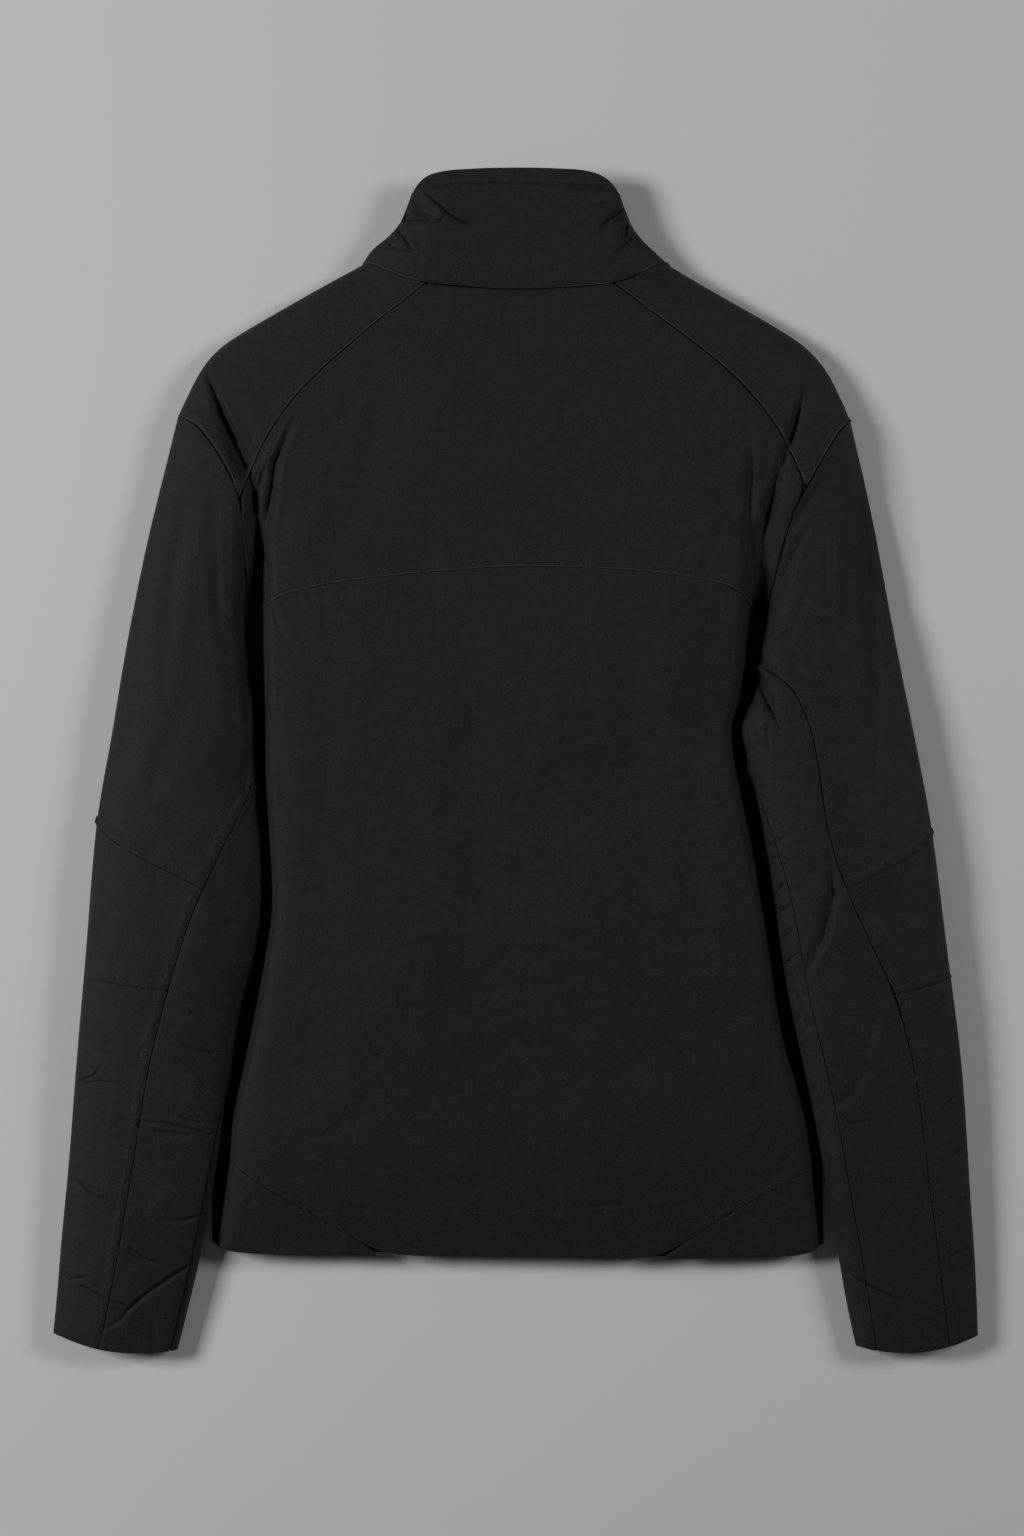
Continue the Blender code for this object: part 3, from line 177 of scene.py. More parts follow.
SLEEVE_CREASES = {
    "left": [
        *fold(4.2, 0, (-197, 186, 1.2), (-196, 120, 4.5), (-193, 50, 4)), Crease(-193, 50, -191, 6, 3.4, 4, 1),
        Crease(-236, 206, -249, 120, 7, 0, 1.2), Crease(-249, 120, -252, 40, 8, 1.2, 0.3),
        Crease(-216, 196, -214, 120, 5, 0.4, 1.6, 0.4), Crease(-214, 120, -204, 60, 5.5, 1.6, 0.4, 0.4),
        Crease(-226, 208, -228, 150, 4, 0, -1), Crease(-200, 150, -198, 90, 4, 0.8, 1.6),
        Crease(-262, 150, -276, 60, 7, 0, 0.8), Crease(-240, 40, -262, -20, 9, 0, 0.9),
        Crease(-206, 40, -196, 8, 5, 1.4, 0), Crease(-212, 6, -192, -22, 5, 0, 1.4),
        Crease(-234, -2, -214, -26, 6, 0, 0.8), Crease(-204, -62, -186, -88, 6, 0, 1.2),
        Crease(-226, -64, -204, -116, 9, 0.4, 1), Crease(-290, 6, -262, -30, 8, 0.5, 0),
        Crease(-262, -66, -252, -118, 10, 0.6, 0), Crease(-282, -92, -300, -130, 7, 0, 0.8),
        # lower arm: thin slanting creases from both edges
        *fold(1.3, 0, (-326.1, -299.2, 0.2), (-316.4, -302.8, 0.8), (-303.1, -313.7, 1), (-294.7, -314.9, 0.9),
        (-286.8, -322.7, 0.5)), *fold(1.8, 0.4, (-256.1, -330, 0.6), (-240.4, -331.4, 1.4), (-227.7, -327.5, 1.4)),
        *fold(1.3, 0, (-277.2, -329.3, 0.8), (-269.3, -335.4, 0.7), (-262.1, -343.2, 0.2)),
        *fold(1.5, 0.4, (-277.5, -350.8, 1.2), (-266.9, -358.9, 1.4), (-254.3, -362.8, 0.4)),
        Crease(-279.6, -354.1, -269.3, -359.8, 1.2, 0.7, 0.8), *fold(1.4, 0, (-329.7, -368.6, 1),
        (-321.2, -374.2, 1.2), (-306.8, -371.6, 0.6)), *fold(1.4, 0.4, (-312.5, -378.8, 1.2), (-295.9, -387.9, 1.3),
        (-291.1, -389.7, 1), (-280, -392.8, 0.8)), *fold(2.1, -0.5, (-227.1, -361.3, 1.2), (-236.8, -364.9, 1.6),
        (-250, -372.4, 2.2), (-268.1, -385.1, 2), (-279, -394.8, 1.8), (-283.8, -402, 1), (-297.1, -410.4, 0.4)),
        Crease(-245.2, -380, -264.5, -392.1, 5, -0.5, -0.5), *fold(1.4, 0.4, (-320.2, -233.4, 1.4),
        (-304.5, -226.4, 1.1), (-295.9, -217, 0.2)), *fold(1.3, 0, (-320.2, -233.8, 1), (-300.6, -230.3, 0.8),
        (-280.3, -231.9, 0.2)), *fold(1.6, 0.4, (-253, -193.6, 0.5), (-234.2, -206.1, 1.4), (-217.8, -210.4, 1.2)),
        *fold(1.5, 0, (-244, -213.9, 0.8), (-227.2, -227.6, 1.2), (-222.5, -236.5, 0.8)),
        Crease(-234.2, -223.7, -220.6, -232.6, 1.3, 0.6, 0.8), *fold(1.6, 0.4, (-268.6, -258.8, 0.4),
        (-246, -261.1, 1.1), (-220.2, -269, 1.5)), Crease(-258.5, -266.2, -234.2, -268.6, 1.3, 0.7, 1),
        Crease(-249.1, -254.5, -225.7, -260.8, 1.3, 0.4, 0.9), Crease(-238.2, -160, -221.8, -175.6, 1.8, 0.4, 0.9),
        Crease(-258.5, -185.8, -274.9, -213.9, 2.6, -0.7, -0.3),
        Crease(-322.1, -245.9, -308.4, -242.8, 1.5, 0.8, 0.2),
        Crease(-315.5, -185.8, -308.4, -179.5, 1.5, 0.9, 0.2), Crease(-226.4, -242, -216.7, -260.8, 2.4, 0.8, 1),
        Crease(-300, -180, -290, -210, 6, 0, 0.7), Crease(-284, -260, -270, -290, 6, 0.6, 0),
        Crease(-306, -402, -302, -420, 3, 0, 0.8), Crease(-262, -404, -260, -424, 3, 0.6, 0.2),
    ],
    "right": [
        Crease(225, 205, 210, 184, 3.8, 0.6, 2, 0.5), Crease(210, 184, 196, 163, 4.2, 2, 1.4, 0.5),
        Crease(211, 169, 200, 146, 4.2, 1, 2.2, 0.5), Crease(200, 146, 189, 120, 4.6, 2.2, 1.4, 0.5),
        *fold(3.2, 0, (231, 235, -1), (232, 150, -2.4), (231, 70, -1)), Crease(247, 228, 252, 167, 14, 2.5, 6, 0.5),
        Crease(252, 167, 262, 57, 17, 6, 7.5, 0.5), Crease(262, 57, 257, -30, 15, 7.5, 1, 0.4),
        Crease(222, 196, 224, 120, 3.4, 0.4, 1.4), Crease(219, 134, 219, 58, 2.6, -0.4, -1),
        Crease(221, 52, 223, 16, 2.6, -0.9, 0), Crease(214, 103, 229, 98, 2.4, 1, 0.3),
        Crease(206, 73, 218, 59, 2, -0.4, -1), Crease(181, 25, 182, 14, 2.4, 1.4, 0.8),
        Crease(172, 30, 176, 11, 2.2, 0.3, 0.9), Crease(190, 22, 210, -16, 2, -0.6, -0.4),
        Crease(208, 118, 196, 84, 4.4, 1.2, 0.2), *fold(2.6, -0.4, (200, 95, 0.8), (191, 91, 1.4), (184, 82, 1.2)),
        *fold(5, 0, (190, 81, 1.6), (199, 73, 3), (206, 61, 1.2)), Crease(176, 61, 183, 42, 3.8, 3.4, 4.4, 0.4),
        Crease(183, 42, 190, 25, 3.2, 4.4, 2.4, 0.4), Crease(184, 62, 194, 32, 2.8, -0.8, -1.2),
        Crease(170, 50, 163, 34, 4, 1.6, 1), Crease(166, 40, 180, 44, 3.6, 0.6, 1.4),
        Crease(176, -20, 170, -44, 4, 0.8, 0.4),
        # gathers along the inner edge at the elbow
        Crease(199, -52, 186, -60, 1.7, 0.2, 1.6, 0.4), Crease(186, -60, 178, -58, 1.7, 1.6, 1),
        Crease(199, -74, 190, -68, 1.6, 0.2, 1.5, 0.4), Crease(190, -68, 180, -72, 1.6, 1.5, 1),
        Crease(197, -84, 188, -96, 1.7, 0.4, 1.7, 0.4), Crease(188, -96, 183, -84, 1.7, 1.7, 0.9),
        *fold(1.5, 0, (202, -100, 0.2), (192, -108, 1.6), (186, -100, 0.8)),
        Crease(203, -118, 194, -127, 1.7, 0.2, 1.5), Crease(207, -134, 196, -146, 1.8, 0.2, 1.4),
        Crease(213, -178, 205, -186, 2.4, 0, 1), Crease(227, -68, 229, -96, 4.2, 1, 3.6, 0.5),
        Crease(229, -96, 222, -126, 4.8, 3.6, 3.2, 0.5), Crease(222, -126, 208, -156, 4.4, 3.2, 0.4, 0.5),
        Crease(236, -74, 238, -122, 3, 0, -1), *fold(3.2, 0.4, (264, -111, 0.4), (272, -126, 1.4), (280, -142, 0)),
        Crease(250, -40, 258, -84, 7, 0.6, 0.9), Crease(286, -60, 290, -110, 7, 0, 0.9),
        Crease(300, -36, 286, -64, 5, 0.7, 0), Crease(244, -150, 256, -196, 7, 0.4, 0.9),
        Crease(201.8, -166.2, 211.9, -191.2, 2.6, 0.8, 1.2), *fold(1.3, 0, (229.9, -248.3, 0.4),
        (240.8, -260.8, 0.9), (265, -256.8, 0.2)), *fold(2, 0.4, (240.8, -367, 1), (252.5, -377.9, 1.6),
        (284.5, -392.3, 0.3)), Crease(239.2, -377.9, 256.4, -394.3, 1.4, 0.6, 0.5), *fold(6, 0, (257.2, -185, 0.8),
        (244.7, -237.3, 1.3), (231, -247.1, 0.8)), Crease(308, -170.2, 299.4, -179.5, 1.4, 0.7, 0.3),
        Crease(215.4, -237.3, 231, -278.3, 3.4, 0.9, 0.5), Crease(225.2, -331, 234.9, -362.3, 3.4, 0.6, 1.2),
        Crease(300, -170, 304, -214, 7, 0.3, 0.8), Crease(320, -240, 306, -252, 1.6, 0.9, 0),
        Crease(322, -282, 304, -290, 1.6, 0.8, 0), Crease(296, -306, 288, -344, 6, 0.5, 0.6),
        Crease(326, -352, 306, -362, 1.6, 1, 0), Crease(306, -398, 308, -418, 3, 0.7, 0.2),
        Crease(270, -402, 268, -420, 3, 0.6, 0.2),
    ],
}

FRONT_CREASES = [     # on the side that lies down they only rise
    Crease(-40, 250, -96, 196, 6, 0, 0.8), Crease(-96, 196, -150, 176, 7, 0.8, 0),
    Crease(-150, 90, -104, 40, 6, 0, 0.9), Crease(-30, 120, -58, 30, 8, 0.3, 0.8),
    Crease(-58, 30, -62, -90, 9, 0.8, 0), Crease(-168, -40, -118, -84, 6, 0.9, 0),
    Crease(-120, -170, -60, -210, 8, 0, 0.7), Crease(-180, -250, -112, -280, 6, 0.8, 0),
    Crease(-24, -240, -40, -320, 5, 0, 0.7), Crease(-100, -322, -70, -330, 4, 0.6, 0.3),
    Crease(36, 262, 84, 214, 6, 0, 0.9), Crease(84, 214, 146, 200, 7, 0.9, 0), Crease(146, 110, 96, 66, 7, 0, 0.7),
    Crease(26, 90, 44, -20, 8, 0.2, 0.8), Crease(44, -20, 70, -110, 9, 0.8, 0),
    Crease(160, -20, 124, -90, 6, 0.8, 0), Crease(140, -180, 78, -196, 7, 0, 0.8),
    Crease(190, -262, 120, -262, 6, 0.7, 0), Crease(20, -230, 34, -326, 5, 0, 0.6),
    Crease(88, -318, 124, -330, 4, 0.5, 0.4),
]


# ---- values that a user would change -------------------------------------------------------------

class JacketCloth(bpy.types.PropertyGroup):
    colour: FloatVectorProperty(name="Cloth colour", description="Base colour of the softshell cloth",
                                subtype="COLOR", size=3, min=0, max=1, default=(0.0080, 0.0084, 0.0093))
    worn_colour: FloatVectorProperty(name="Faded colour", description="Slightly faded patches of the cloth",
                                     subtype="COLOR", size=3, min=0, max=1, default=(0.0105, 0.0107, 0.0114))
    roughness: FloatProperty(name="Roughness", description="Roughness of the cloth's face",
                             subtype="FACTOR", min=0, max=1, default=0.74)
    sheen: FloatProperty(name="Sheen", description="Soft light that the short fibres give back",
                         subtype="FACTOR", min=0, max=1, default=0.03)
    weave: FloatProperty(name="Weave pitch", description="Distance between two yarns of the face",
                         unit="LENGTH", min=0.0003, max=0.003, default=0.0011)
    crease_strength: FloatProperty(name="Crease strength", description="Factor on the depth of every crease",
                                   min=0, max=3, default=1.0)
    unevenness: FloatProperty(name="Unevenness", description="Height of the cloth's soft unevenness",
                              unit="LENGTH", min=0, max=0.003, default=0.0007)
    wall: FloatProperty(name="Wall", description="Thickness of the laminated cloth", unit="LENGTH",
                        min=0.0005, max=0.003, default=0.0015)
    cell: FloatProperty(name="Cell", description="Size of the cells in which the cloth is shaped",
                        unit="LENGTH", min=0.001, max=0.02, default=0.0024)


class JacketSewing(bpy.types.PropertyGroup):
    stitch: FloatProperty(name="Stitch length", description="Length of one stitch with its gap",
                          unit="LENGTH", min=0.001, max=0.006, default=0.0030)
    thread: FloatProperty(name="Thread", description="Diameter of the sewing thread",
                          unit="LENGTH", min=0.0001, max=0.001, default=0.00042)
    edge: FloatProperty(name="Seam edge", description="Diameter of the rolled edge along a seam",
                        unit="LENGTH", min=0.0002, max=0.002, default=0.0008)
    colour: FloatVectorProperty(name="Thread colour", description="Base colour of the thread",
                                subtype="COLOR", size=3, min=0, max=1, default=(0.0165, 0.0165, 0.0175))
    # Edge colour: the rolled seam edges are coloured about three times lighter than the cloth, a painted highlight.
    painted_edge_highlight: FloatVectorProperty(name="Edge colour", description="Base colour of the cloth rubbed pale on the seam edges",
                              subtype="COLOR", size=3, min=0, max=1, default=(0.0240, 0.0240, 0.0250))


class JacketZip(bpy.types.PropertyGroup):
    pitch: FloatProperty(name="Tooth pitch", description="Distance between two turns of the zip's coil",
                         unit="LENGTH", min=0.001, max=0.005, default=0.0024)
    colour: FloatVectorProperty(name="Zip colour", description="Base colour of the nylon coil",
                                subtype="COLOR", size=3, min=0, max=1, default=(0.012, 0.012, 0.013))
    metal: FloatVectorProperty(name="Slider colour", description="Base colour of the painted slider and pull tab",
                               subtype="COLOR", size=3, min=0, max=1, default=(0.03, 0.03, 0.032))


class JacketStage(bpy.types.PropertyGroup):
    lens: FloatProperty(name="Lens", description="Focal length in millimetres", min=20, max=300, default=85)
    floor_colour: FloatVectorProperty(name="Floor colour", description="Base colour of the floor",
                                      subtype="COLOR", size=3, min=0, max=1, default=(0.62, 0.62, 0.61))
    key_power: FloatProperty(name="Key light", description="Power of the large soft light", unit="POWER",
                             min=0, max=1000, default=74)
    fill_power: FloatProperty(name="Fill light", description="Power of the weaker light opposite",
                              unit="POWER", min=0, max=1000, default=38)
    sky: FloatProperty(name="Surrounding light", description="Strength of the even light all round",
                       min=0, max=3, default=0.05)


# ---- shaping cloth -------------------------------------------------------------------------------

def smooth_step(t):
    t = np.clip(t, 0.0, 1.0)
    return t * t * (3 - 2 * t)


def undulation(x, y, pitch_mm, seed):
    """Smooth noise from -1 to 1 over the plane, with hills about one pitch apart."""
    size = 96
    table = np.random.default_rng(seed).uniform(-1, 1, (size, size))
    u, v = x / pitch_mm + 37.3, y / pitch_mm + 41.7
    iu, iv = np.floor(u).astype(int), np.floor(v).astype(int)
    fu, fv = smooth_step(u - iu), smooth_step(v - iv)
    a, b = table[iu % size, iv % size], table[(iu + 1) % size, iv % size]
    c, d = table[iu % size, (iv + 1) % size], table[(iu + 1) % size, (iv + 1) % size]
    return (a * (1 - fu) + b * fu) * (1 - fv) + (c * (1 - fu) + d * fu) * fv


# The profile of a crease across its line, with sizes as shares of its half width.
SHARPNESS = 0.72         # how much of the half width its flank takes
FLANK_FALL = 1.25        # how fast the flank levels out
LEAN_SHARE = 0.45        # how much a leaning crease draws in its steep flank
LIP_PLACE, LIP_SPREAD = 1.9, 0.55
REACH = 3.2              # beyond this it has no effect
NARROW = 2.5             # half width in millimetres below which the raised lip is low
LIP_SHARE, NARROW_LIP_SHARE = 0.3, 0.16
LIP_LIMIT = 3.0          # depth in millimetres above which the lip grows no more


def pressed(width):
    """Narrow creases are pressed in a little deeper than wide drapes."""
    return 1.35 if width < 5 else 1.0


def crease_depth(creases, x, y):
    """How deep all the creases of a table are at points in millimetres: the deepest one counts."""
    trough, ridge, shoulder = np.zeros_like(x), np.zeros_like(x), np.zeros_like(x)
    for c in creases:
        reach = REACH * c.width
        near = ((x > min(c.x0, c.x1) - reach) & (x < max(c.x0, c.x1) + reach)
                & (y > min(c.y0, c.y1) - reach) & (y < max(c.y0, c.y1) + reach))
        px, py = x[near] - c.x0, y[near] - c.y0
        dx, dy = c.x1 - c.x0, c.y1 - c.y0
        length = math.hypot(dx, dy)
        t = (px * dx + py * dy) / (length * length)
        across = (dx * py - dy * px) / length
        beyond = np.maximum(np.maximum(-t, t - 1), 0) * length
        lean = c.lean * np.sign(across)
        spread = c.width * (1 - LEAN_SHARE * lean) * SHARPNESS
        u = np.hypot(across, beyond) / spread
        amount = (c.depth0 + (c.depth1 - c.depth0) * np.clip(t, 0, 1)) * pressed(c.width)
        fall = np.exp(-FLANK_FALL * u ** 1.5)
        trough[near] = np.maximum(trough[near], amount * fall)
        ridge[near] = np.maximum(ridge[near], -amount * fall)
        lip = (LIP_SHARE if c.width > NARROW else NARROW_LIP_SHARE) * np.minimum(np.abs(amount), LIP_LIMIT)
        shoulder[near] = np.maximum(shoulder[near], lip * np.exp(-((u - LIP_PLACE) ** 2) / LIP_SPREAD))
    return trough - ridge - shoulder * (1 - np.clip(trough + ridge, 0, 1))


def creases_of(name):
    if name.startswith("front"):
        return FRONT_CREASES
    if name.startswith("sleeve"):
        return SLEEVE_CREASES[name.rsplit("_", 1)[1]]
    return COLLAR_CREASES + BODY_CREASES if name == "collar" else BODY_CREASES + COLLAR_CREASES


def top_sheet(bm, bend):
    """The faces that join up with no edge bent more than bend, and look up the most."""
    waiting, sheets = set(bm.faces), []
    while waiting:
        sheet, ahead = [], [waiting.pop()]
        while ahead:
            face = ahead.pop()
            sheet.append(face)
            for edge in face.edges:
                if edge.calc_face_angle(math.pi) < bend:
                    found = [other for other in edge.link_faces if other in waiting]
                    waiting.difference_update(found)
                    ahead += found
        sheets.append(sheet)
    return set(max(sheets, key=lambda sheet: sum(face.calc_area() * face.normal.z for face in sheet)))


def upper_sheet(node):
    """The upper face of a CAD panel's wall, as quads."""
    bm = bmesh.new()
    bm.from_mesh(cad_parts[node].data)
    bmesh.ops.remove_doubles(bm, verts=bm.verts, dist=0.00001)
    bmesh.ops.join_triangles(bm, faces=bm.faces, angle_face_threshold=math.radians(35),
                             angle_shape_threshold=math.radians(60))
    whole = sum(face.calc_area() for face in bm.faces)
    for bend in (76, 70, 64, 58, 50, 42, 36, 30):
        keep = top_sheet(bm, math.radians(bend))
        if 0.4 * whole < sum(face.calc_area() for face in keep) < 0.53 * whole:
            break
    else:
        raise RuntimeError("the two faces of the wall weren't told apart: " + node)
    bmesh.ops.delete(bm, geom=[face for face in bm.faces if face not in keep], context="FACES")
    mesh = bpy.data.meshes.new(node)
    bm.to_mesh(mesh)
    bm.free()
    return mesh


def flat_sheet(node, cell):
    """The upper face of a flat front, as even triangles inside its outline."""
    sheet = upper_sheet(node)
    open_edges = rim_edges(sheet)
    used = sorted({i for key in open_edges for i in key})
    place = {i: n for n, i in enumerate(used)}
    corners = [sheet.vertices[i].co.xy for i in used]
    rim = [(place[a], place[b]) for a, b in open_edges]
    low_x, high_x = min(c.x for c in corners), max(c.x for c in corners)
    low_y, high_y = min(c.y for c in corners), max(c.y for c in corners)
    across, up = int((high_x - low_x) / cell), int((high_y - low_y) / cell)
    inner = [Vector((low_x + (i + 0.5 + 0.25 * (j % 2)) * cell, low_y + (j + 0.5) * cell))
             for i in range(across) for j in range(up)]
    points, _, faces, *_ = delaunay_2d_cdt(corners + inner, rim, [], 1, 1e-7)
    height = max(v.co.z for v in sheet.vertices)
    mesh = bpy.data.meshes.new(node)
    mesh.from_pydata([(p.x, p.y, height) for p in points], [], [tuple(f) for f in faces])
    return mesh


def through_modifier(mesh, kind, **settings):
    """A mesh after one modifier."""
    holder = bpy.data.objects.new("cloth", mesh)
    bpy.context.scene.collection.objects.link(holder)
    step = holder.modifiers.new(kind, kind)
    for name, value in settings.items():
        setattr(step, name, value)
    bpy.context.view_layer.update()
    done = bpy.data.meshes.new_from_object(holder.evaluated_get(bpy.context.evaluated_depsgraph_get()))
    bpy.data.objects.remove(holder)
    return done


def split_long(mesh, cell, creases):
    """Splits edges in halves until none is much longer than a cell, which is smaller at narrow creases."""
    bm = bmesh.new()
    bm.from_mesh(mesh)
    for _ in range(6):
        middles = np.array([(edge.verts[0].co + edge.verts[1].co)[:2] for edge in bm.edges]) / (2 * MM)
        lengths = np.array([edge.calc_length() for edge in bm.edges])
        limit = cell_near(creases, middles[:, 0], middles[:, 1], cell)
        long = [edge for edge, far in zip(bm.edges, lengths > limit * 1.35) if far]
        if not long:
            break
        bmesh.ops.subdivide_edges(bm, edges=long, cuts=1, use_grid_fill=True)
    bm.to_mesh(mesh)
    bm.free()


def cell_near(creases, x, y, cell):
    """The cell that a mesh needs at points in millimetres."""
    limit = np.full(len(x), cell)
    for c in creases:
        fine = 0.55 * c.width * MM
        if fine < cell:
            dx, dy = c.x1 - c.x0, c.y1 - c.y0
            t = np.clip(((x - c.x0) * dx + (y - c.y0) * dy) / (dx * dx + dy * dy), 0, 1)
            away = np.hypot(x - c.x0 - t * dx, y - c.y0 - t * dy)
            limit[(away < 1.7 * c.width) & (limit > fine)] = fine
    return limit


def point_tree(points):
    tree = KDTree(len(points))
    for i, point in enumerate(points):
        tree.insert(point, i)
    tree.balance()
    return tree


def seam_distance(mesh, points):
    """Distance of each vertex from the nearest of some points, in metres."""
    tree = point_tree(points)
    return np.array([tree.find(v.co)[2] for v in mesh.vertices])


def rim_edges(mesh):
    """The edges of a sheet that only one face has."""
    count = {}
    for face in mesh.polygons:
        for key in face.edge_keys:
            count[key] = count.get(key, 0) + 1
    return [key for key, n in count.items() if n == 1]


def rim_points(mesh):
    """Points along the open rim of a sheet."""
    points = []
    for i, j in rim_edges(mesh):
        a, b = mesh.vertices[i].co, mesh.vertices[j].co
        steps = max(1, int((a - b).length / (2 * MM)))
        points += [a.lerp(b, (k + 0.5) / steps) for k in range(steps)]
    return points


def sewn_points(node):
    """Points along the topstitched seams where a panel lies on top of its neighbour."""
    return [p for seam in seams() if seam.over == node and seam.row for p in resampled(seam_line(seam), 2 * MM)]


def shape_cloth(node, mesh, rim, cloth):
    """Moves the upper layer of a panel down into its creases, and up between them."""
    count = len(mesh.vertices)
    co = np.empty(count * 3)
    mesh.vertices.foreach_get("co", co)
    co = co.reshape(-1, 3) / MM
    normals = np.empty(count * 3)
    mesh.vertices.foreach_get("normal", normals)
    level = np.abs(normals.reshape(-1, 3)[:, 2])
    x, y, z = co[:, 0], co[:, 1], co[:, 2]
    upper = smooth_step((z - 3.5) / 7) * smooth_step(level / 0.45)
    if node.startswith("front"):
        co[:, 2] += crease_depth(creases_of(node), x, y).clip(0)
    seam = seam_distance(mesh, rim) / MM
    lift = cloth.unevenness / MM * (0.8 * undulation(x, y, 46, 3) + 0.45 * undulation(x, y, 19, 5)
                                    + 0.16 * undulation(x, y, 7.5, 8))
    sewn = sewn_points(node)
    beside = seam_distance(mesh, sewn) / MM if sewn else np.full(count, 99.0)
    band = smooth_step((7.5 - beside) / 2)
    pucker = band * (0.3 * undulation(x, y, 3.1, 12) + 0.25 * np.exp(-((beside - 2.8) / 1.5) ** 2)
                     - 0.2 * np.exp(-((beside - 5.6) / 1.1) ** 2))
    dip = 0.5 * np.exp(-(seam / 1.6) ** 2)
    shift = lift * smooth_step(seam / 5) + pucker - dip
    shift -= cloth.crease_strength * crease_depth(creases_of(node), x, y) * (0.35 + 0.65 * smooth_step(seam / 4))
    co[:, 2] = z + upper * shift
    mesh.vertices.foreach_set("co", (co * MM).ravel())
    near = mesh.attributes.new("near_seam", "FLOAT", "POINT")
    near.data.foreach_set("value", band)
    mesh.update()


def lay_down(mesh):
    """Keeps a mesh from sinking into the surface that the jacket lies on."""
    co = np.empty(len(mesh.vertices) * 3)
    mesh.vertices.foreach_get("co", co)
    co[2::3] = co[2::3].clip(0)
    mesh.vertices.foreach_set("co", co)
    mesh.update()


dressed = {}


def dress_panel(node, cell_share=1.0):
    settings = bpy.context.scene.jacket_cloth
    cell = settings.cell * cell_share
    if node.startswith("front"):
        mesh = flat_sheet(node, cell)
    else:
        mesh = through_modifier(upper_sheet(node), "SUBSURF", levels=2, boundary_smooth="PRESERVE_CORNERS")
        split_long(mesh, cell, creases_of(node))
    shape_cloth(node, mesh, rim_points(mesh), settings)
    mesh = through_modifier(mesh, "SOLIDIFY", thickness=settings.wall, offset=-1, use_quality_normals=True)
    lay_down(mesh)
    mesh.shade_smooth()
    mesh.set_sharp_from_angle(angle=math.radians(60))
    mesh.materials.clear()
    mesh.materials.append(softshell(node))
    piece = bpy.data.objects.new("cloth_" + node, mesh)
    bpy.context.scene.collection.objects.link(piece)
    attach(piece, BODY)
    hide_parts(node)
    dressed[node] = piece
    return piece


# ---- materials -----------------------------------------------------------------------------------

def new_material(name):
    material = bpy.data.materials.new(name)
    material.use_nodes = True
    return material, material.node_tree.nodes["Principled BSDF"]


def fill(node, inputs):
    """Gives each input of a node its value, or joins it to the output that is given for it."""
    for name, value in inputs.items():
        if isinstance(value, bpy.types.NodeSocket):
            node.id_data.links.new(value, node.inputs[name])
        else:
            node.inputs[name].default_value = value


def add_node(material, kind, inputs, output=0, **settings):
    """Adds a node and returns one of its outputs."""
    node = material.node_tree.nodes.new("ShaderNode" + kind)
    for name, value in settings.items():
        setattr(node, name, value)
    fill(node, inputs)
    return node.outputs[output]


def noise(material, place, scale, detail, **more):
    return add_node(material, "TexNoise", {"Vector": place, "Scale": scale, "Detail": detail, **more}, "Fac")


def product(material, a, b):
    return add_node(material, "Math", {0: a, 1: b}, operation="MULTIPLY")


def bumped(material, height, strength, distance, under=None):
    """A bump, laid over another one if that is given."""
    inputs = {"Height": height, "Strength": strength, "Distance": distance}
    return add_node(material, "Bump", {**inputs, "Normal": under} if under else inputs)


def softshell(node):
    """Matt laminated cloth with a fine plain weave, soft patches and a puckered band beside its seams."""
    name = "softshell_" + node
    if name in bpy.data.materials:
        return bpy.data.materials[name]
    cloth = bpy.context.scene.jacket_cloth
    material, shader = new_material(name)
    fill(shader, {"Roughness": cloth.roughness, "Specular IOR Level": 0.22, "Sheen Weight": cloth.sheen,
                  "Sheen Roughness": 0.55})
    place = add_node(material, "TexCoord", {}, "Object")
    patches = noise(material, place, 11.0, 6.0, Roughness=0.62)
    spread = add_node(material, "MapRange", {"Value": patches, "From Min": 0.3, "From Max": 0.75}, "Result")
    tint = add_node(material, "Mix", {"A": (*cloth.colour, 1), "B": (*cloth.worn_colour, 1), "Factor": spread},
                    "Result", data_type="RGBA")
    shade = []
    for size, amount in ((170.0, 0.12), (760.0, 0.5)):
        flecks = noise(material, place, size, 3.0, Roughness=0.6)
        shade.append(add_node(material, "MapRange", {"Value": flecks, "From Min": 0.3, "From Max": 0.7,
                                                     "To Min": 1 - amount, "To Max": 1 + amount}, "Result"))
    colour = add_node(material, "VectorMath", {0: tint, "Scale": product(material, *shade)}, "Vector",
                      operation="SCALE")
    yarns = []
    for turn in (0.0, math.pi / 2):
        turned = add_node(material, "Mapping", {"Vector": place, "Rotation": (0, 0, turn + math.radians(3))})
        yarns.append(add_node(material, "TexWave", {"Vector": turned, "Scale": 0.314 / cloth.weave, "Distortion": 1.2,
                                                    "Detail": 2.0, "Detail Scale": 1.5}, "Fac", bands_direction="X"))
    weave = bumped(material, product(material, *yarns), 0.35, 0.00012)
    crumple = bumped(material, noise(material, place, 120.0, 6.0, Distortion=0.4), 0.7, 0.0007, weave)
    near = add_node(material, "Attribute", {}, "Fac", attribute_name="near_seam")
    sewn = bumped(material, product(material, noise(material, place, 430.0, 2.0), near), 0.8, 0.0009, crumple)
    fill(shader, {"Base Color": colour, "Normal": sewn})
    return material


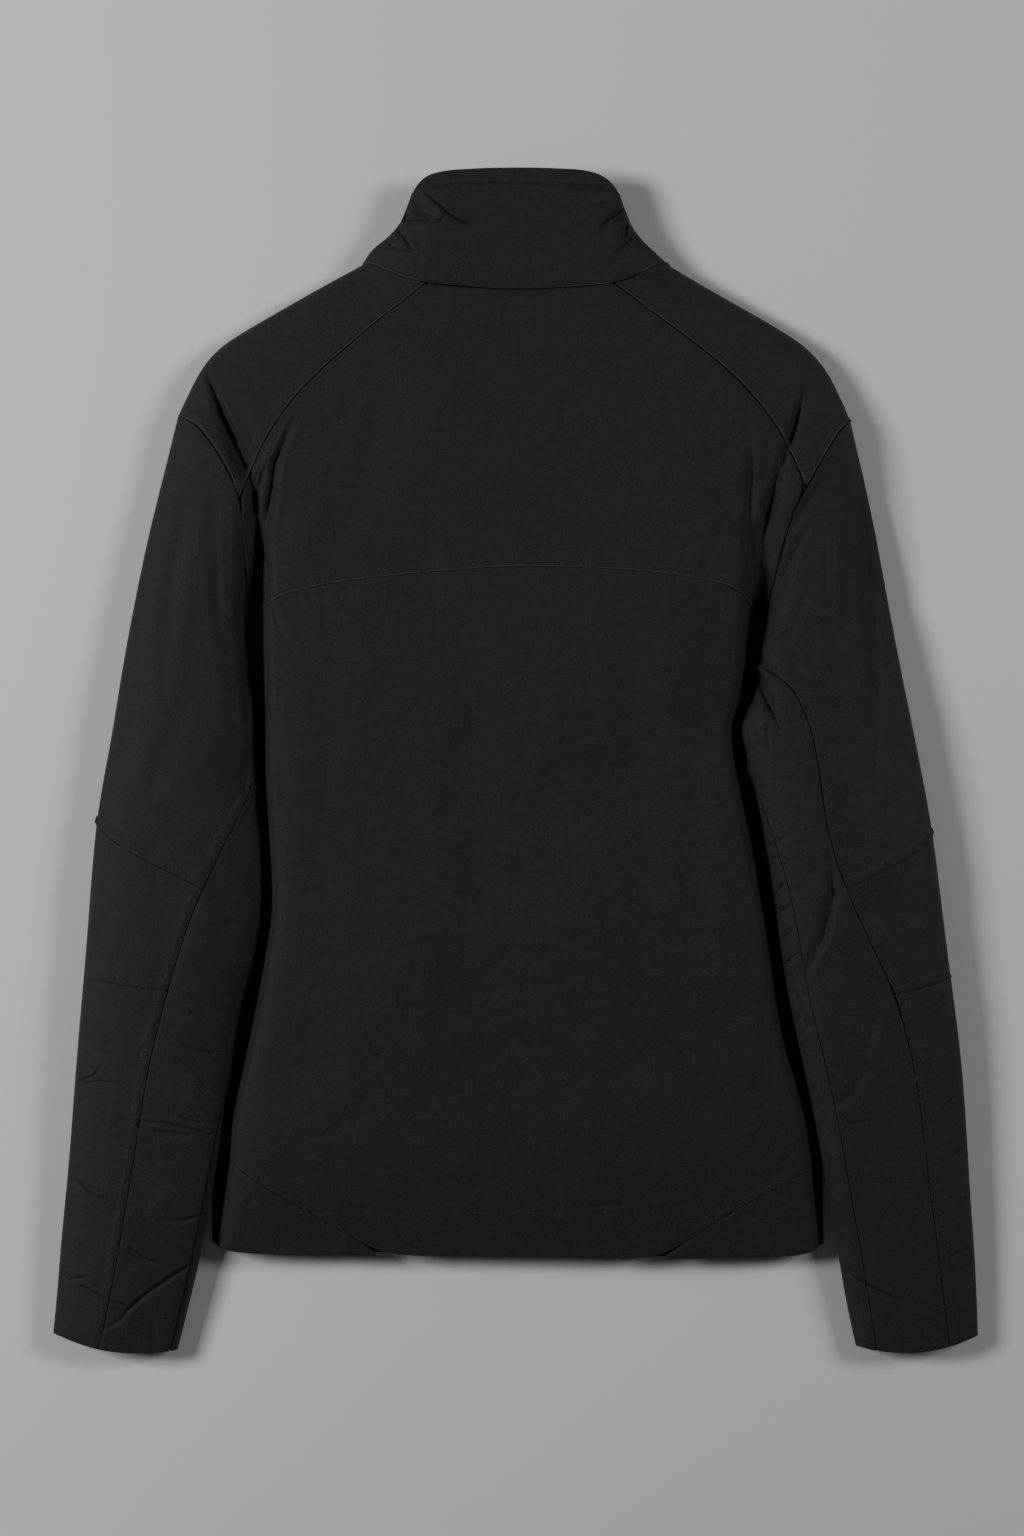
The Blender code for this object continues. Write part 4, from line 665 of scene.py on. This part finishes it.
def plain_finish(name, colour, roughness, metallic, scale, distance, coat=0.0):
    """A finish with a little grain in its bump and colour: thread, nylon or paint."""
    if name in bpy.data.materials:
        return bpy.data.materials[name]
    material, shader = new_material(name)
    place = add_node(material, "TexCoord", {}, "Object")
    grain = noise(material, place, scale, 4.0)
    tone = add_node(material, "Mix", {"A": (*(c * 0.75 for c in colour), 1), "B": (*(c * 1.25 for c in colour), 1),
                                      "Factor": grain}, "Result", data_type="RGBA")
    gloss = add_node(material, "MapRange", {"Value": grain, "To Min": roughness - 0.08, "To Max": roughness + 0.08},
                     "Result")
    fill(shader, {"Metallic": metallic, "Coat Weight": coat, "Base Color": tone, "Roughness": gloss,
                  "Normal": bumped(material, grain, 0.5, distance)})
    return material


def floor_paper(colour):
    """Plain matt paper with a grain too fine to show as patches."""
    material, shader = new_material("floor_paper")
    grain = add_node(material, "TexNoise", {"Scale": 400.0}, "Fac")
    fill(shader, {"Roughness": 0.9, "Specular IOR Level": 0.2, "Base Color": (*colour, 1),
                  "Normal": bumped(material, grain, 0.15, 0.0002)})
    return material


# ---- seams ---------------------------------------------------------------------------------------

def cad_points(node):
    """Merged corner points of a CAD node and the pairs of them that its faces join."""
    bm = bmesh.new()
    bm.from_mesh(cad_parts[node].data)
    bmesh.ops.remove_doubles(bm, verts=bm.verts, dist=0.00001)
    points = [v.co.copy() for v in bm.verts]
    edges = [tuple(v.index for v in e.verts) for e in bm.edges]
    bm.free()
    return points, edges


seam_lines = {}


def seam_line(seam, reach_mm=2.6):
    """The run of points in the middle of the upper panel's rim that faces the lower panel, in order."""
    if seam not in seam_lines:
        seam_lines[seam] = find_seam(seam, reach_mm)
    return seam_lines[seam]


def find_seam(seam, reach_mm):
    points, edges = cad_points(seam.over)
    tree = point_tree(cad_points(seam.under)[0])
    facing = {i for i, p in enumerate(points) if tree.find(p)[2] < reach_mm * MM}
    rungs = []
    for i, j in edges:
        if i in facing and j in facing and 1.0 < (points[i] - points[j]).length / MM < 1.9:
            rungs.append((i, j))
    if len(rungs) < 2:
        return []
    middles = [(points[i] + points[j]) / 2 for i, j in rungs]
    joined = {i: set() for i in range(len(rungs))}
    owner = {}
    for n, (i, j) in enumerate(rungs):
        owner.setdefault(i, []).append(n)
        owner.setdefault(j, []).append(n)
    for i, j in edges:
        for m in owner.get(i, ()):
            for n in owner.get(j, ()):
                if m != n:
                    joined[m].add(n)
                    joined[n].add(m)
    ends = [n for n in joined if len(joined[n]) == 1] or [0]
    best = []
    for start in ends:
        run, seen = [start], {start}
        while True:
            onward = [n for n in joined[run[-1]] if n not in seen]
            if not onward:
                break
            nearest = min(onward, key=lambda n: (middles[n] - middles[run[-1]]).length)
            run.append(nearest)
            seen.add(nearest)
        if len(run) > len(best):
            best = run
    return [middles[n] for n in best]


def resampled(points, step):
    """Points one step apart on a smooth curve through others."""
    if len(points) < 2:
        return []
    fine = []
    for i in range(len(points) - 1):
        p0, p1 = points[max(i - 1, 0)], points[i]
        p2, p3 = points[i + 1], points[min(i + 2, len(points) - 1)]
        for k in range(24):
            t = k / 24
            fine.append(0.5 * (2 * p1 + (p2 - p0) * t + (2 * p0 - 5 * p1 + 4 * p2 - p3) * t * t
                               + (3 * p1 - p0 - 3 * p2 + p3) * t ** 3))
    fine.append(points[-1].copy())
    out, left = [fine[0]], step
    for a, b in zip(fine, fine[1:]):
        length = (b - a).length
        while length > 0 and left <= length:
            a = a.lerp(b, left / length)
            out.append(a)
            length = (b - a).length
            left = step
        left -= length
    return out


def cloth_surface():
    """A search tree over all the dressed cloth, with the node that each face belongs to."""
    points, faces, owners = [], [], []
    for node, piece in dressed.items():
        base = len(points)
        points += [v.co.copy() for v in piece.data.vertices]
        for face in piece.data.polygons:
            faces.append([base + i for i in face.vertices])
            owners.append(node)
    return BVHTree.FromPolygons(points, faces), owners


def on_top(tree, place, down=-1):
    """Where a plumb line meets the cloth from above, or from below when down is 1."""
    start = Vector((place[0], place[1], -0.1 * down))
    return tree.ray_cast(start, Vector((0, 0, down)))


def side_step(line, i, amount):
    """Point i of a line moved square to it in plan."""
    a, b = line[max(i - 1, 0)], line[min(i + 1, len(line) - 1)]
    along = Vector((b.x - a.x, b.y - a.y, 0))
    if along.length < 1e-9:
        return line[i]
    along.normalize()
    return line[i] + Vector((-along.y, along.x, 0)) * amount


def towards(tree, owners, line, node):
    """1 or -1: the side of a line on which a panel lies."""
    votes = 0
    for i in range(0, len(line), max(1, len(line) // 7)):
        for sign in (1, -1):
            hit = on_top(tree, side_step(line, i, sign * 5 * MM))
            if hit[0] is not None and owners[hit[2]] == node:
                votes += sign
    return 1 if votes >= 0 else -1


def add_tube(bm, points, radius, sides=5, closed_ends=True):
    """A thin tube through points, with the cross sections square to it."""
    rings = []
    for i, point in enumerate(points):
        along = points[min(i + 1, len(points) - 1)] - points[max(i - 1, 0)]
        if along.length < 1e-9:
            continue
        across = along.cross(Vector((0, 0, 1)))
        across = across.normalized() if across.length > 1e-9 else Vector((1, 0, 0))
        up = across.cross(along).normalized()
        rings.append([bm.verts.new(point + radius * (math.cos(t) * across + math.sin(t) * up))
                      for t in (2 * math.pi * k / sides for k in range(sides))])
    for a, b in zip(rings, rings[1:]):
        for k in range(sides):
            bm.faces.new((a[k], a[(k + 1) % sides], b[(k + 1) % sides], b[k]))
    if closed_ends and len(rings) > 1:
        bm.faces.new(list(reversed(rings[0])))
        bm.faces.new(rings[-1])


def add_ribbon(bm, line, half):
    """A strip of cloth, 0.6 mm thick, with its upper face along a line."""
    rings = []
    for i in range(len(line)):
        ring = []
        for side, down in ((1, 0.1), (0, 0), (-1, 0.1), (-1, 0.7), (0, 0.6), (1, 0.7)):
            place = side_step(line, i, side * half)
            ring.append(bm.verts.new((place.x, place.y, max(place.z - down * MM, 0.1 * MM))))
        rings.append(ring)
    for a, b in zip(rings, rings[1:]):
        for k in range(6):
            bm.faces.new((a[k], a[(k + 1) % 6], b[(k + 1) % 6], b[k]))
    bm.faces.new(rings[0])
    bm.faces.new(list(reversed(rings[-1])))


def add_stitch(bm, middle, along, normal, length, radius):
    """One stitch: a short thread that dips into the cloth at both ends."""
    half = along.normalized() * length / 2
    sink = normal.normalized() * radius
    points = [middle - half - sink * 1.2, middle - half * 0.55 + sink * 0.5,
              middle + half * 0.55 + sink * 0.5, middle + half - sink * 1.2]
    add_tube(bm, points, radius, sides=4, closed_ends=True)


def finish_piece(name, bm, material):
    """Turns a bmesh into a piece that rides on the jacket."""
    bmesh.ops.recalc_face_normals(bm, faces=bm.faces)
    mesh = bpy.data.meshes.new(name)
    bm.to_mesh(mesh)
    bm.free()
    mesh.shade_smooth()
    mesh.materials.append(material)
    piece = bpy.data.objects.new(name, mesh)
    bpy.context.scene.collection.objects.link(piece)
    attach(piece, BODY)
    return piece


# Seams between two panels, with the panel that lies on top and carries the topstitching, and how
# far in millimetres that row is from the seam (0 for none). The body's seams are pale: a painted highlight.
Seam = namedtuple("Seam", "over under row pale", defaults=(False,))


def seams():
    table = [Seam("back_yoke", "back_lower", 5.5, True), Seam("collar", "back_yoke", 0, True)]
    for side in SIDES:
        upper, elbow, forearm = (kind + side for kind in ("sleeve_upper_", "sleeve_elbow_", "sleeve_forearm_"))
        back = "sleeve_back_" + side
        table += [Seam("shoulder_" + side, "back_yoke", 5.5, True), Seam("collar", "shoulder_" + side, 0, True),
                  Seam("shoulder_" + side, upper, 4.0, True), Seam("back_yoke", upper, 0),
                  Seam("back_lower", "hem_corner_" + side, 3.0), Seam(upper, back, 5.0), Seam(elbow, back, 5.0),
                  Seam(forearm, back, 5.0), Seam(back, "sleeve_under_" + side, 0), Seam(upper, elbow, 5.0),
                  Seam(elbow, forearm, 2.0)]
    return table


# Stitched lines that follow no seam: the hem, the cuffs and the top of the collar, in millimetres.
Spot = namedtuple("Spot", "x y")
STITCHED_LINES = {
    "hem": [Spot(-217, -323), Spot(-204, -325), Spot(-146, -326), Spot(-81, -326), Spot(16, -325.5), Spot(58, -327),
            Spot(111, -328.5), Spot(163, -330), Spot(185, -328.5), Spot(206, -326.5), Spot(221, -325)],
    "left_cuff": [Spot(-333, -386), Spot(-317, -391), Spot(-295, -396), Spot(-275, -399.5), Spot(-256, -401),
                  Spot(-237, -401)],
    "right_cuff": [Spot(244, -400), Spot(258, -400.5), Spot(284, -399), Spot(311, -393.5), Spot(334, -387.5)],
    "collar_top": [Spot(-65, 416), Spot(-40, 418.5), Spot(0, 419), Spot(40, 418.5), Spot(67, 416)],
}
# Where the turned-in cloth of the armhole, the side and the sleeve lies together under each arm.
UNDERARMS = {"left": [Spot(-186, 114), Spot(-189, 99), Spot(-194, 78)],
             "right": [Spot(183, 113), Spot(178, 98), Spot(175, 80), Spot(176, 58)]}


# ---- operators -----------------------------------------------------------------------------------

class JACKET_OT_body(bpy.types.Operator):
    """Makes the cloth of the back, the shoulders, the hem corners and the fronts"""
    bl_idname = "jacket.body"
    bl_label = "Body panels"

    def execute(self, context):
        dress_panel("back_lower", 1.4)
        dress_panel("back_yoke", 1.1)
        for side in SIDES:
            dress_panel("shoulder_" + side)
            dress_panel("hem_corner_" + side)
            dress_panel("front_" + side, 2.4)
        return {"FINISHED"}


class JACKET_OT_collar(bpy.types.Operator):
    """Makes the cloth of the standing collar"""
    bl_idname = "jacket.collar"
    bl_label = "Collar"

    def execute(self, context):
        dress_panel("collar", 0.75)
        return {"FINISHED"}


class JACKET_OT_sleeves(bpy.types.Operator):
    """Makes the cloth of the five panels of each sleeve"""
    bl_idname = "jacket.sleeves"
    bl_label = "Sleeves"

    def execute(self, context):
        for side in SIDES:
            for panel in SLEEVE_PANELS:
                dress_panel(panel + "_" + side, 1.15 if panel == "sleeve_under" else 0.85)
        return {"FINISHED"}


class JACKET_OT_sewing(bpy.types.Operator):
    """Lays the rolled seam edges and the rows of stitches on the cloth"""
    bl_idname = "jacket.sewing"
    bl_label = "Seams and stitching"

    def execute(self, context):
        sewing = context.scene.jacket_sewing
        thread = plain_finish("sewing_thread", sewing.colour, 0.6, 0.0, 1800, 0.00005)
        tree, owners = cloth_surface()
        edges = bmesh.new()
        rows = bmesh.new()
        allowances = bmesh.new()
        for seam in seams():
            line = resampled(seam_line(seam), sewing.stitch)
            if len(line) < 3:
                print("no seam found between", seam.over, seam.under)
                continue
            sign = towards(tree, owners, line, seam.over)
            edge = []
            for i in range(len(line)):
                hit = on_top(tree, side_step(line, i, sign * 0.45 * MM))
                # Pale seams get a rolled edge whose lighter colour is a painted highlight.
                if seam.pale and hit[0] is not None and abs(hit[0].z - line[i].z) < 3 * MM:
                    edge.append(hit[0] - Vector((0, 0, sewing.edge * 0.2)))
                elif len(edge) > 1:
                    add_tube(edges, edge, sewing.edge / 2)
                    edge = []
                else:
                    edge = []
            if len(edge) > 1:
                add_tube(edges, edge, sewing.edge / 2)
            if seam.row:
                self.sew(rows, tree, line, sign * seam.row * MM, sewing)
            self.fold_in(allowances, line, tree)
        for spots in UNDERARMS.values():
            add_ribbon(allowances, resampled([Vector((s.x, s.y, 2.4)) * MM for s in spots], 3 * MM), 5.5 * MM)
        # Material of the rolled seam edges, its light colour a painted highlight.
        painted_edge_highlight = plain_finish("painted_highlight_seam_edge", sewing.painted_edge_highlight, 0.7, 0.0, 900, 0.0001)
        finish_piece("seam_edges", edges, painted_edge_highlight)
        finish_piece("seam_allowances", allowances, softshell("seam_allowances"))
        finish_piece("seam_stitching", rows, thread)
        for name, spots in STITCHED_LINES.items():
            bm = bmesh.new()
            line = resampled([Vector((s.x, s.y, 0)) * MM for s in spots], sewing.stitch)
            self.sew(bm, tree, line, 0, sewing, check=False)
            finish_piece(name + "_stitching", bm, thread)
        return {"FINISHED"}

    def fold_in(self, bm, line, tree):
        """Lays the turned-in cloth under a seam, which closes the gap between its two panels."""
        wall = bpy.context.scene.jacket_cloth.wall
        sunk = []
        for i, point in enumerate(line):
            lows = []
            for side in (1, 0.5, -0.5, -1):
                hit = on_top(tree, side_step(line, i, side * 2.0 * MM))
                if hit[0] is not None and abs(hit[0].z - point.z) < 3.5 * MM:
                    lows.append(hit[0].z)
            sunk.append(Vector((point.x, point.y, min(lows, default=point.z) - wall - 0.25 * MM)))
        add_ribbon(bm, sunk, 2.0 * MM)

    def sew(self, bm, tree, line, amount, sewing, check=True):
        for i in range(len(line) - 1):
            place = side_step(line, i, amount)
            hit = on_top(tree, place)
            if hit[0] is None or (check and abs(hit[0].z - line[i].z) > 5 * MM) or hit[1].z < 0.25:
                continue
            along = side_step(line, i + 1, amount) - place
            along = along - hit[1] * along.dot(hit[1])
            if along.length > 1e-6:
                add_stitch(bm, hit[0], along, hit[1], sewing.stitch * 0.74, sewing.thread / 2)


class JACKET_OT_zip(bpy.types.Operator):
    """Makes the coil and tape of the closed zip, and finishes the slider and its pull tab"""
    bl_idname = "jacket.zip"
    bl_label = "Zip"

    def execute(self, context):
        settings = context.scene.jacket_zip
        nylon = plain_finish("zip_nylon", settings.colour, 0.46, 0.0, 900, 0.00006)
        heights = {}
        for node in ("zip_chain", "zip_chain_collar"):
            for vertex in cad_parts[node].data.vertices:
                heights.setdefault(round(vertex.co.y, 4), []).append(vertex.co.z)
        stations = sorted((y, (min(z) + max(z)) / 2) for y, z in heights.items())
        ys, zs = zip(*stations)
        line = [Vector((0, y, np.interp(y, ys, zs))) for y in np.arange(ys[0], ys[-1], settings.pitch)]
        low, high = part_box("zip_chain")
        width, thick = high.x - low.x, 0.0019
        bm = bmesh.new()
        for i in range(len(line) - 1):
            along = (line[i + 1] - line[i]).normalized()
            up = Vector((1, 0, 0)).cross(along)
            side = 1 if i % 2 else -1
            middle = line[i] + Vector((side * width * 0.16, 0, max(thick * 0.46 - line[i].z, 0)))
            self.tooth(bm, middle, along, up, width * 0.60, settings.pitch * 0.74, thick * 0.92)
        teeth = finish_piece("zip_teeth", bm, nylon)
        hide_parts("zip_chain", "zip_chain_collar")
        tape = bmesh.new()
        for a, b in zip(line, line[1:]):
            along = (b - a).normalized()
            up = Vector((1, 0, 0)).cross(along)
            self.tooth(tape, (a + b) / 2, along, up, width, (b - a).length * 1.02, thick * 0.3)
        finish_piece("zip_tape", tape, plain_finish("zip_tape", settings.colour, 0.85, 0.0, 1500, 0.0001))
        paint = plain_finish("slider_paint", settings.metal, 0.38, 0.85, 600, 0.00003, coat=0.3)
        for node in ("zip_slider", "zip_pull"):
            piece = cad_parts[node]
            piece.data.materials.clear()
            piece.data.materials.append(paint)
        return {"FINISHED"}

    def tooth(self, bm, middle, along, up, width, length, thick):
        """One turn of the coil, as a block with rounded upper and lower edges."""
        profile = [(-0.5, 0.22), (-0.36, 0.5), (0.36, 0.5), (0.5, 0.22), (0.5, -0.22), (0.36, -0.5), (-0.36, -0.5),
                   (-0.5, -0.22)]
        rings = []
        for t in (-0.5, 0.5):
            rings.append([bm.verts.new(middle + along * t * length + Vector((u * width, 0, 0)) + up * v * thick)
                          for u, v in profile])
        count = len(profile)
        for k in range(count):
            bm.faces.new((rings[0][k], rings[0][(k + 1) % count], rings[1][(k + 1) % count], rings[1][k]))
        bm.faces.new(rings[0])
        bm.faces.new(list(reversed(rings[1])))


class JACKET_OT_stage(bpy.types.Operator):
    """Sets up the floor, the lights and the camera straight above"""
    bl_idname = "jacket.stage"
    bl_label = "Stage"

    def execute(self, context):
        stage = context.scene.jacket_stage
        scene = context.scene
        bm = bmesh.new()
        bmesh.ops.create_grid(bm, x_segments=8, y_segments=8, size=4)
        mesh = bpy.data.meshes.new("floor")
        bm.to_mesh(mesh)
        bm.free()
        mesh.materials.append(floor_paper(stage.floor_colour))
        floor = bpy.data.objects.new("floor", mesh)
        scene.collection.objects.link(floor)
        floor.location.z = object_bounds()[0][2] - 0.0002
        floor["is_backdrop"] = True
        self.area_light("left", stage.key_power, (-2.6, 0.5, 1.9), (0, 0, 0), (0.9, 0.9))
        self.area_light("right", stage.fill_power, (2.6, 0.8, 1.9), (0, 0, 0), (0.9, 0.9))
        world = bpy.data.worlds.new("studio")
        world.use_nodes = True
        world.node_tree.nodes["Background"].inputs["Color"].default_value = (1, 1, 1, 1)
        world.node_tree.nodes["Background"].inputs["Strength"].default_value = stage.sky
        scene.world = world
        data = bpy.data.cameras.new("overhead")
        data.lens = stage.lens
        data.sensor_width = 36
        data.clip_start, data.clip_end = 0.05, 20
        camera = bpy.data.objects.new("overhead", data)
        frame_height = 1.112
        camera.location = (-0.0024, -0.0046, frame_height * stage.lens / data.sensor_width + 0.015)
        scene.collection.objects.link(camera)
        scene.camera = camera
        scene.view_settings.view_transform = "Standard"
        return {"FINISHED"}

    def area_light(self, name, power, place, target, size):
        data = bpy.data.lights.new(name, "AREA")
        data.energy = power
        data.shape = "RECTANGLE"
        data.size, data.size_y = size
        light = bpy.data.objects.new(name, data)
        light.location = place
        light.rotation_euler = (Vector(target) - Vector(place)).to_track_quat("-Z", "Y").to_euler()
        bpy.context.scene.collection.objects.link(light)


class JACKET_PT_sidebar(bpy.types.Panel):
    """Settings and steps of the jacket"""
    bl_idname = "JACKET_PT_sidebar"
    bl_label = "Softshell jacket"
    bl_space_type = "VIEW_3D"
    bl_region_type = "UI"
    bl_category = "Jacket"

    def draw(self, context):
        for group, steps in PANEL_ROWS:
            box = self.layout.box()
            settings = getattr(context.scene, group)
            for name in settings.__annotations__:
                box.prop(settings, name)
            for step in steps:
                box.operator(step.bl_idname)


GROUPS = {"jacket_cloth": JacketCloth, "jacket_sewing": JacketSewing, "jacket_zip": JacketZip,
          "jacket_stage": JacketStage}
STEPS = [JACKET_OT_body, JACKET_OT_collar, JACKET_OT_sleeves, JACKET_OT_sewing, JACKET_OT_zip, JACKET_OT_stage]
PANEL_ROWS = [("jacket_cloth", STEPS[:3]), ("jacket_sewing", STEPS[3:4]), ("jacket_zip", STEPS[4:5]),
              ("jacket_stage", STEPS[5:])]


def register():
    for cls in [*GROUPS.values(), *STEPS, JACKET_PT_sidebar]:
        bpy.utils.register_class(cls)
    for name, group in GROUPS.items():
        setattr(bpy.types.Scene, name, PointerProperty(type=group))


def unregister():
    for name in GROUPS:
        delattr(bpy.types.Scene, name)
    for cls in reversed([*GROUPS.values(), *STEPS, JACKET_PT_sidebar]):
        bpy.utils.unregister_class(cls)


def main():
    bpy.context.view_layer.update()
    register()
    for step in STEPS:
        group, name = step.bl_idname.split(".")
        getattr(getattr(bpy.ops, group), name)()


if __name__ == "__main__":
    main()
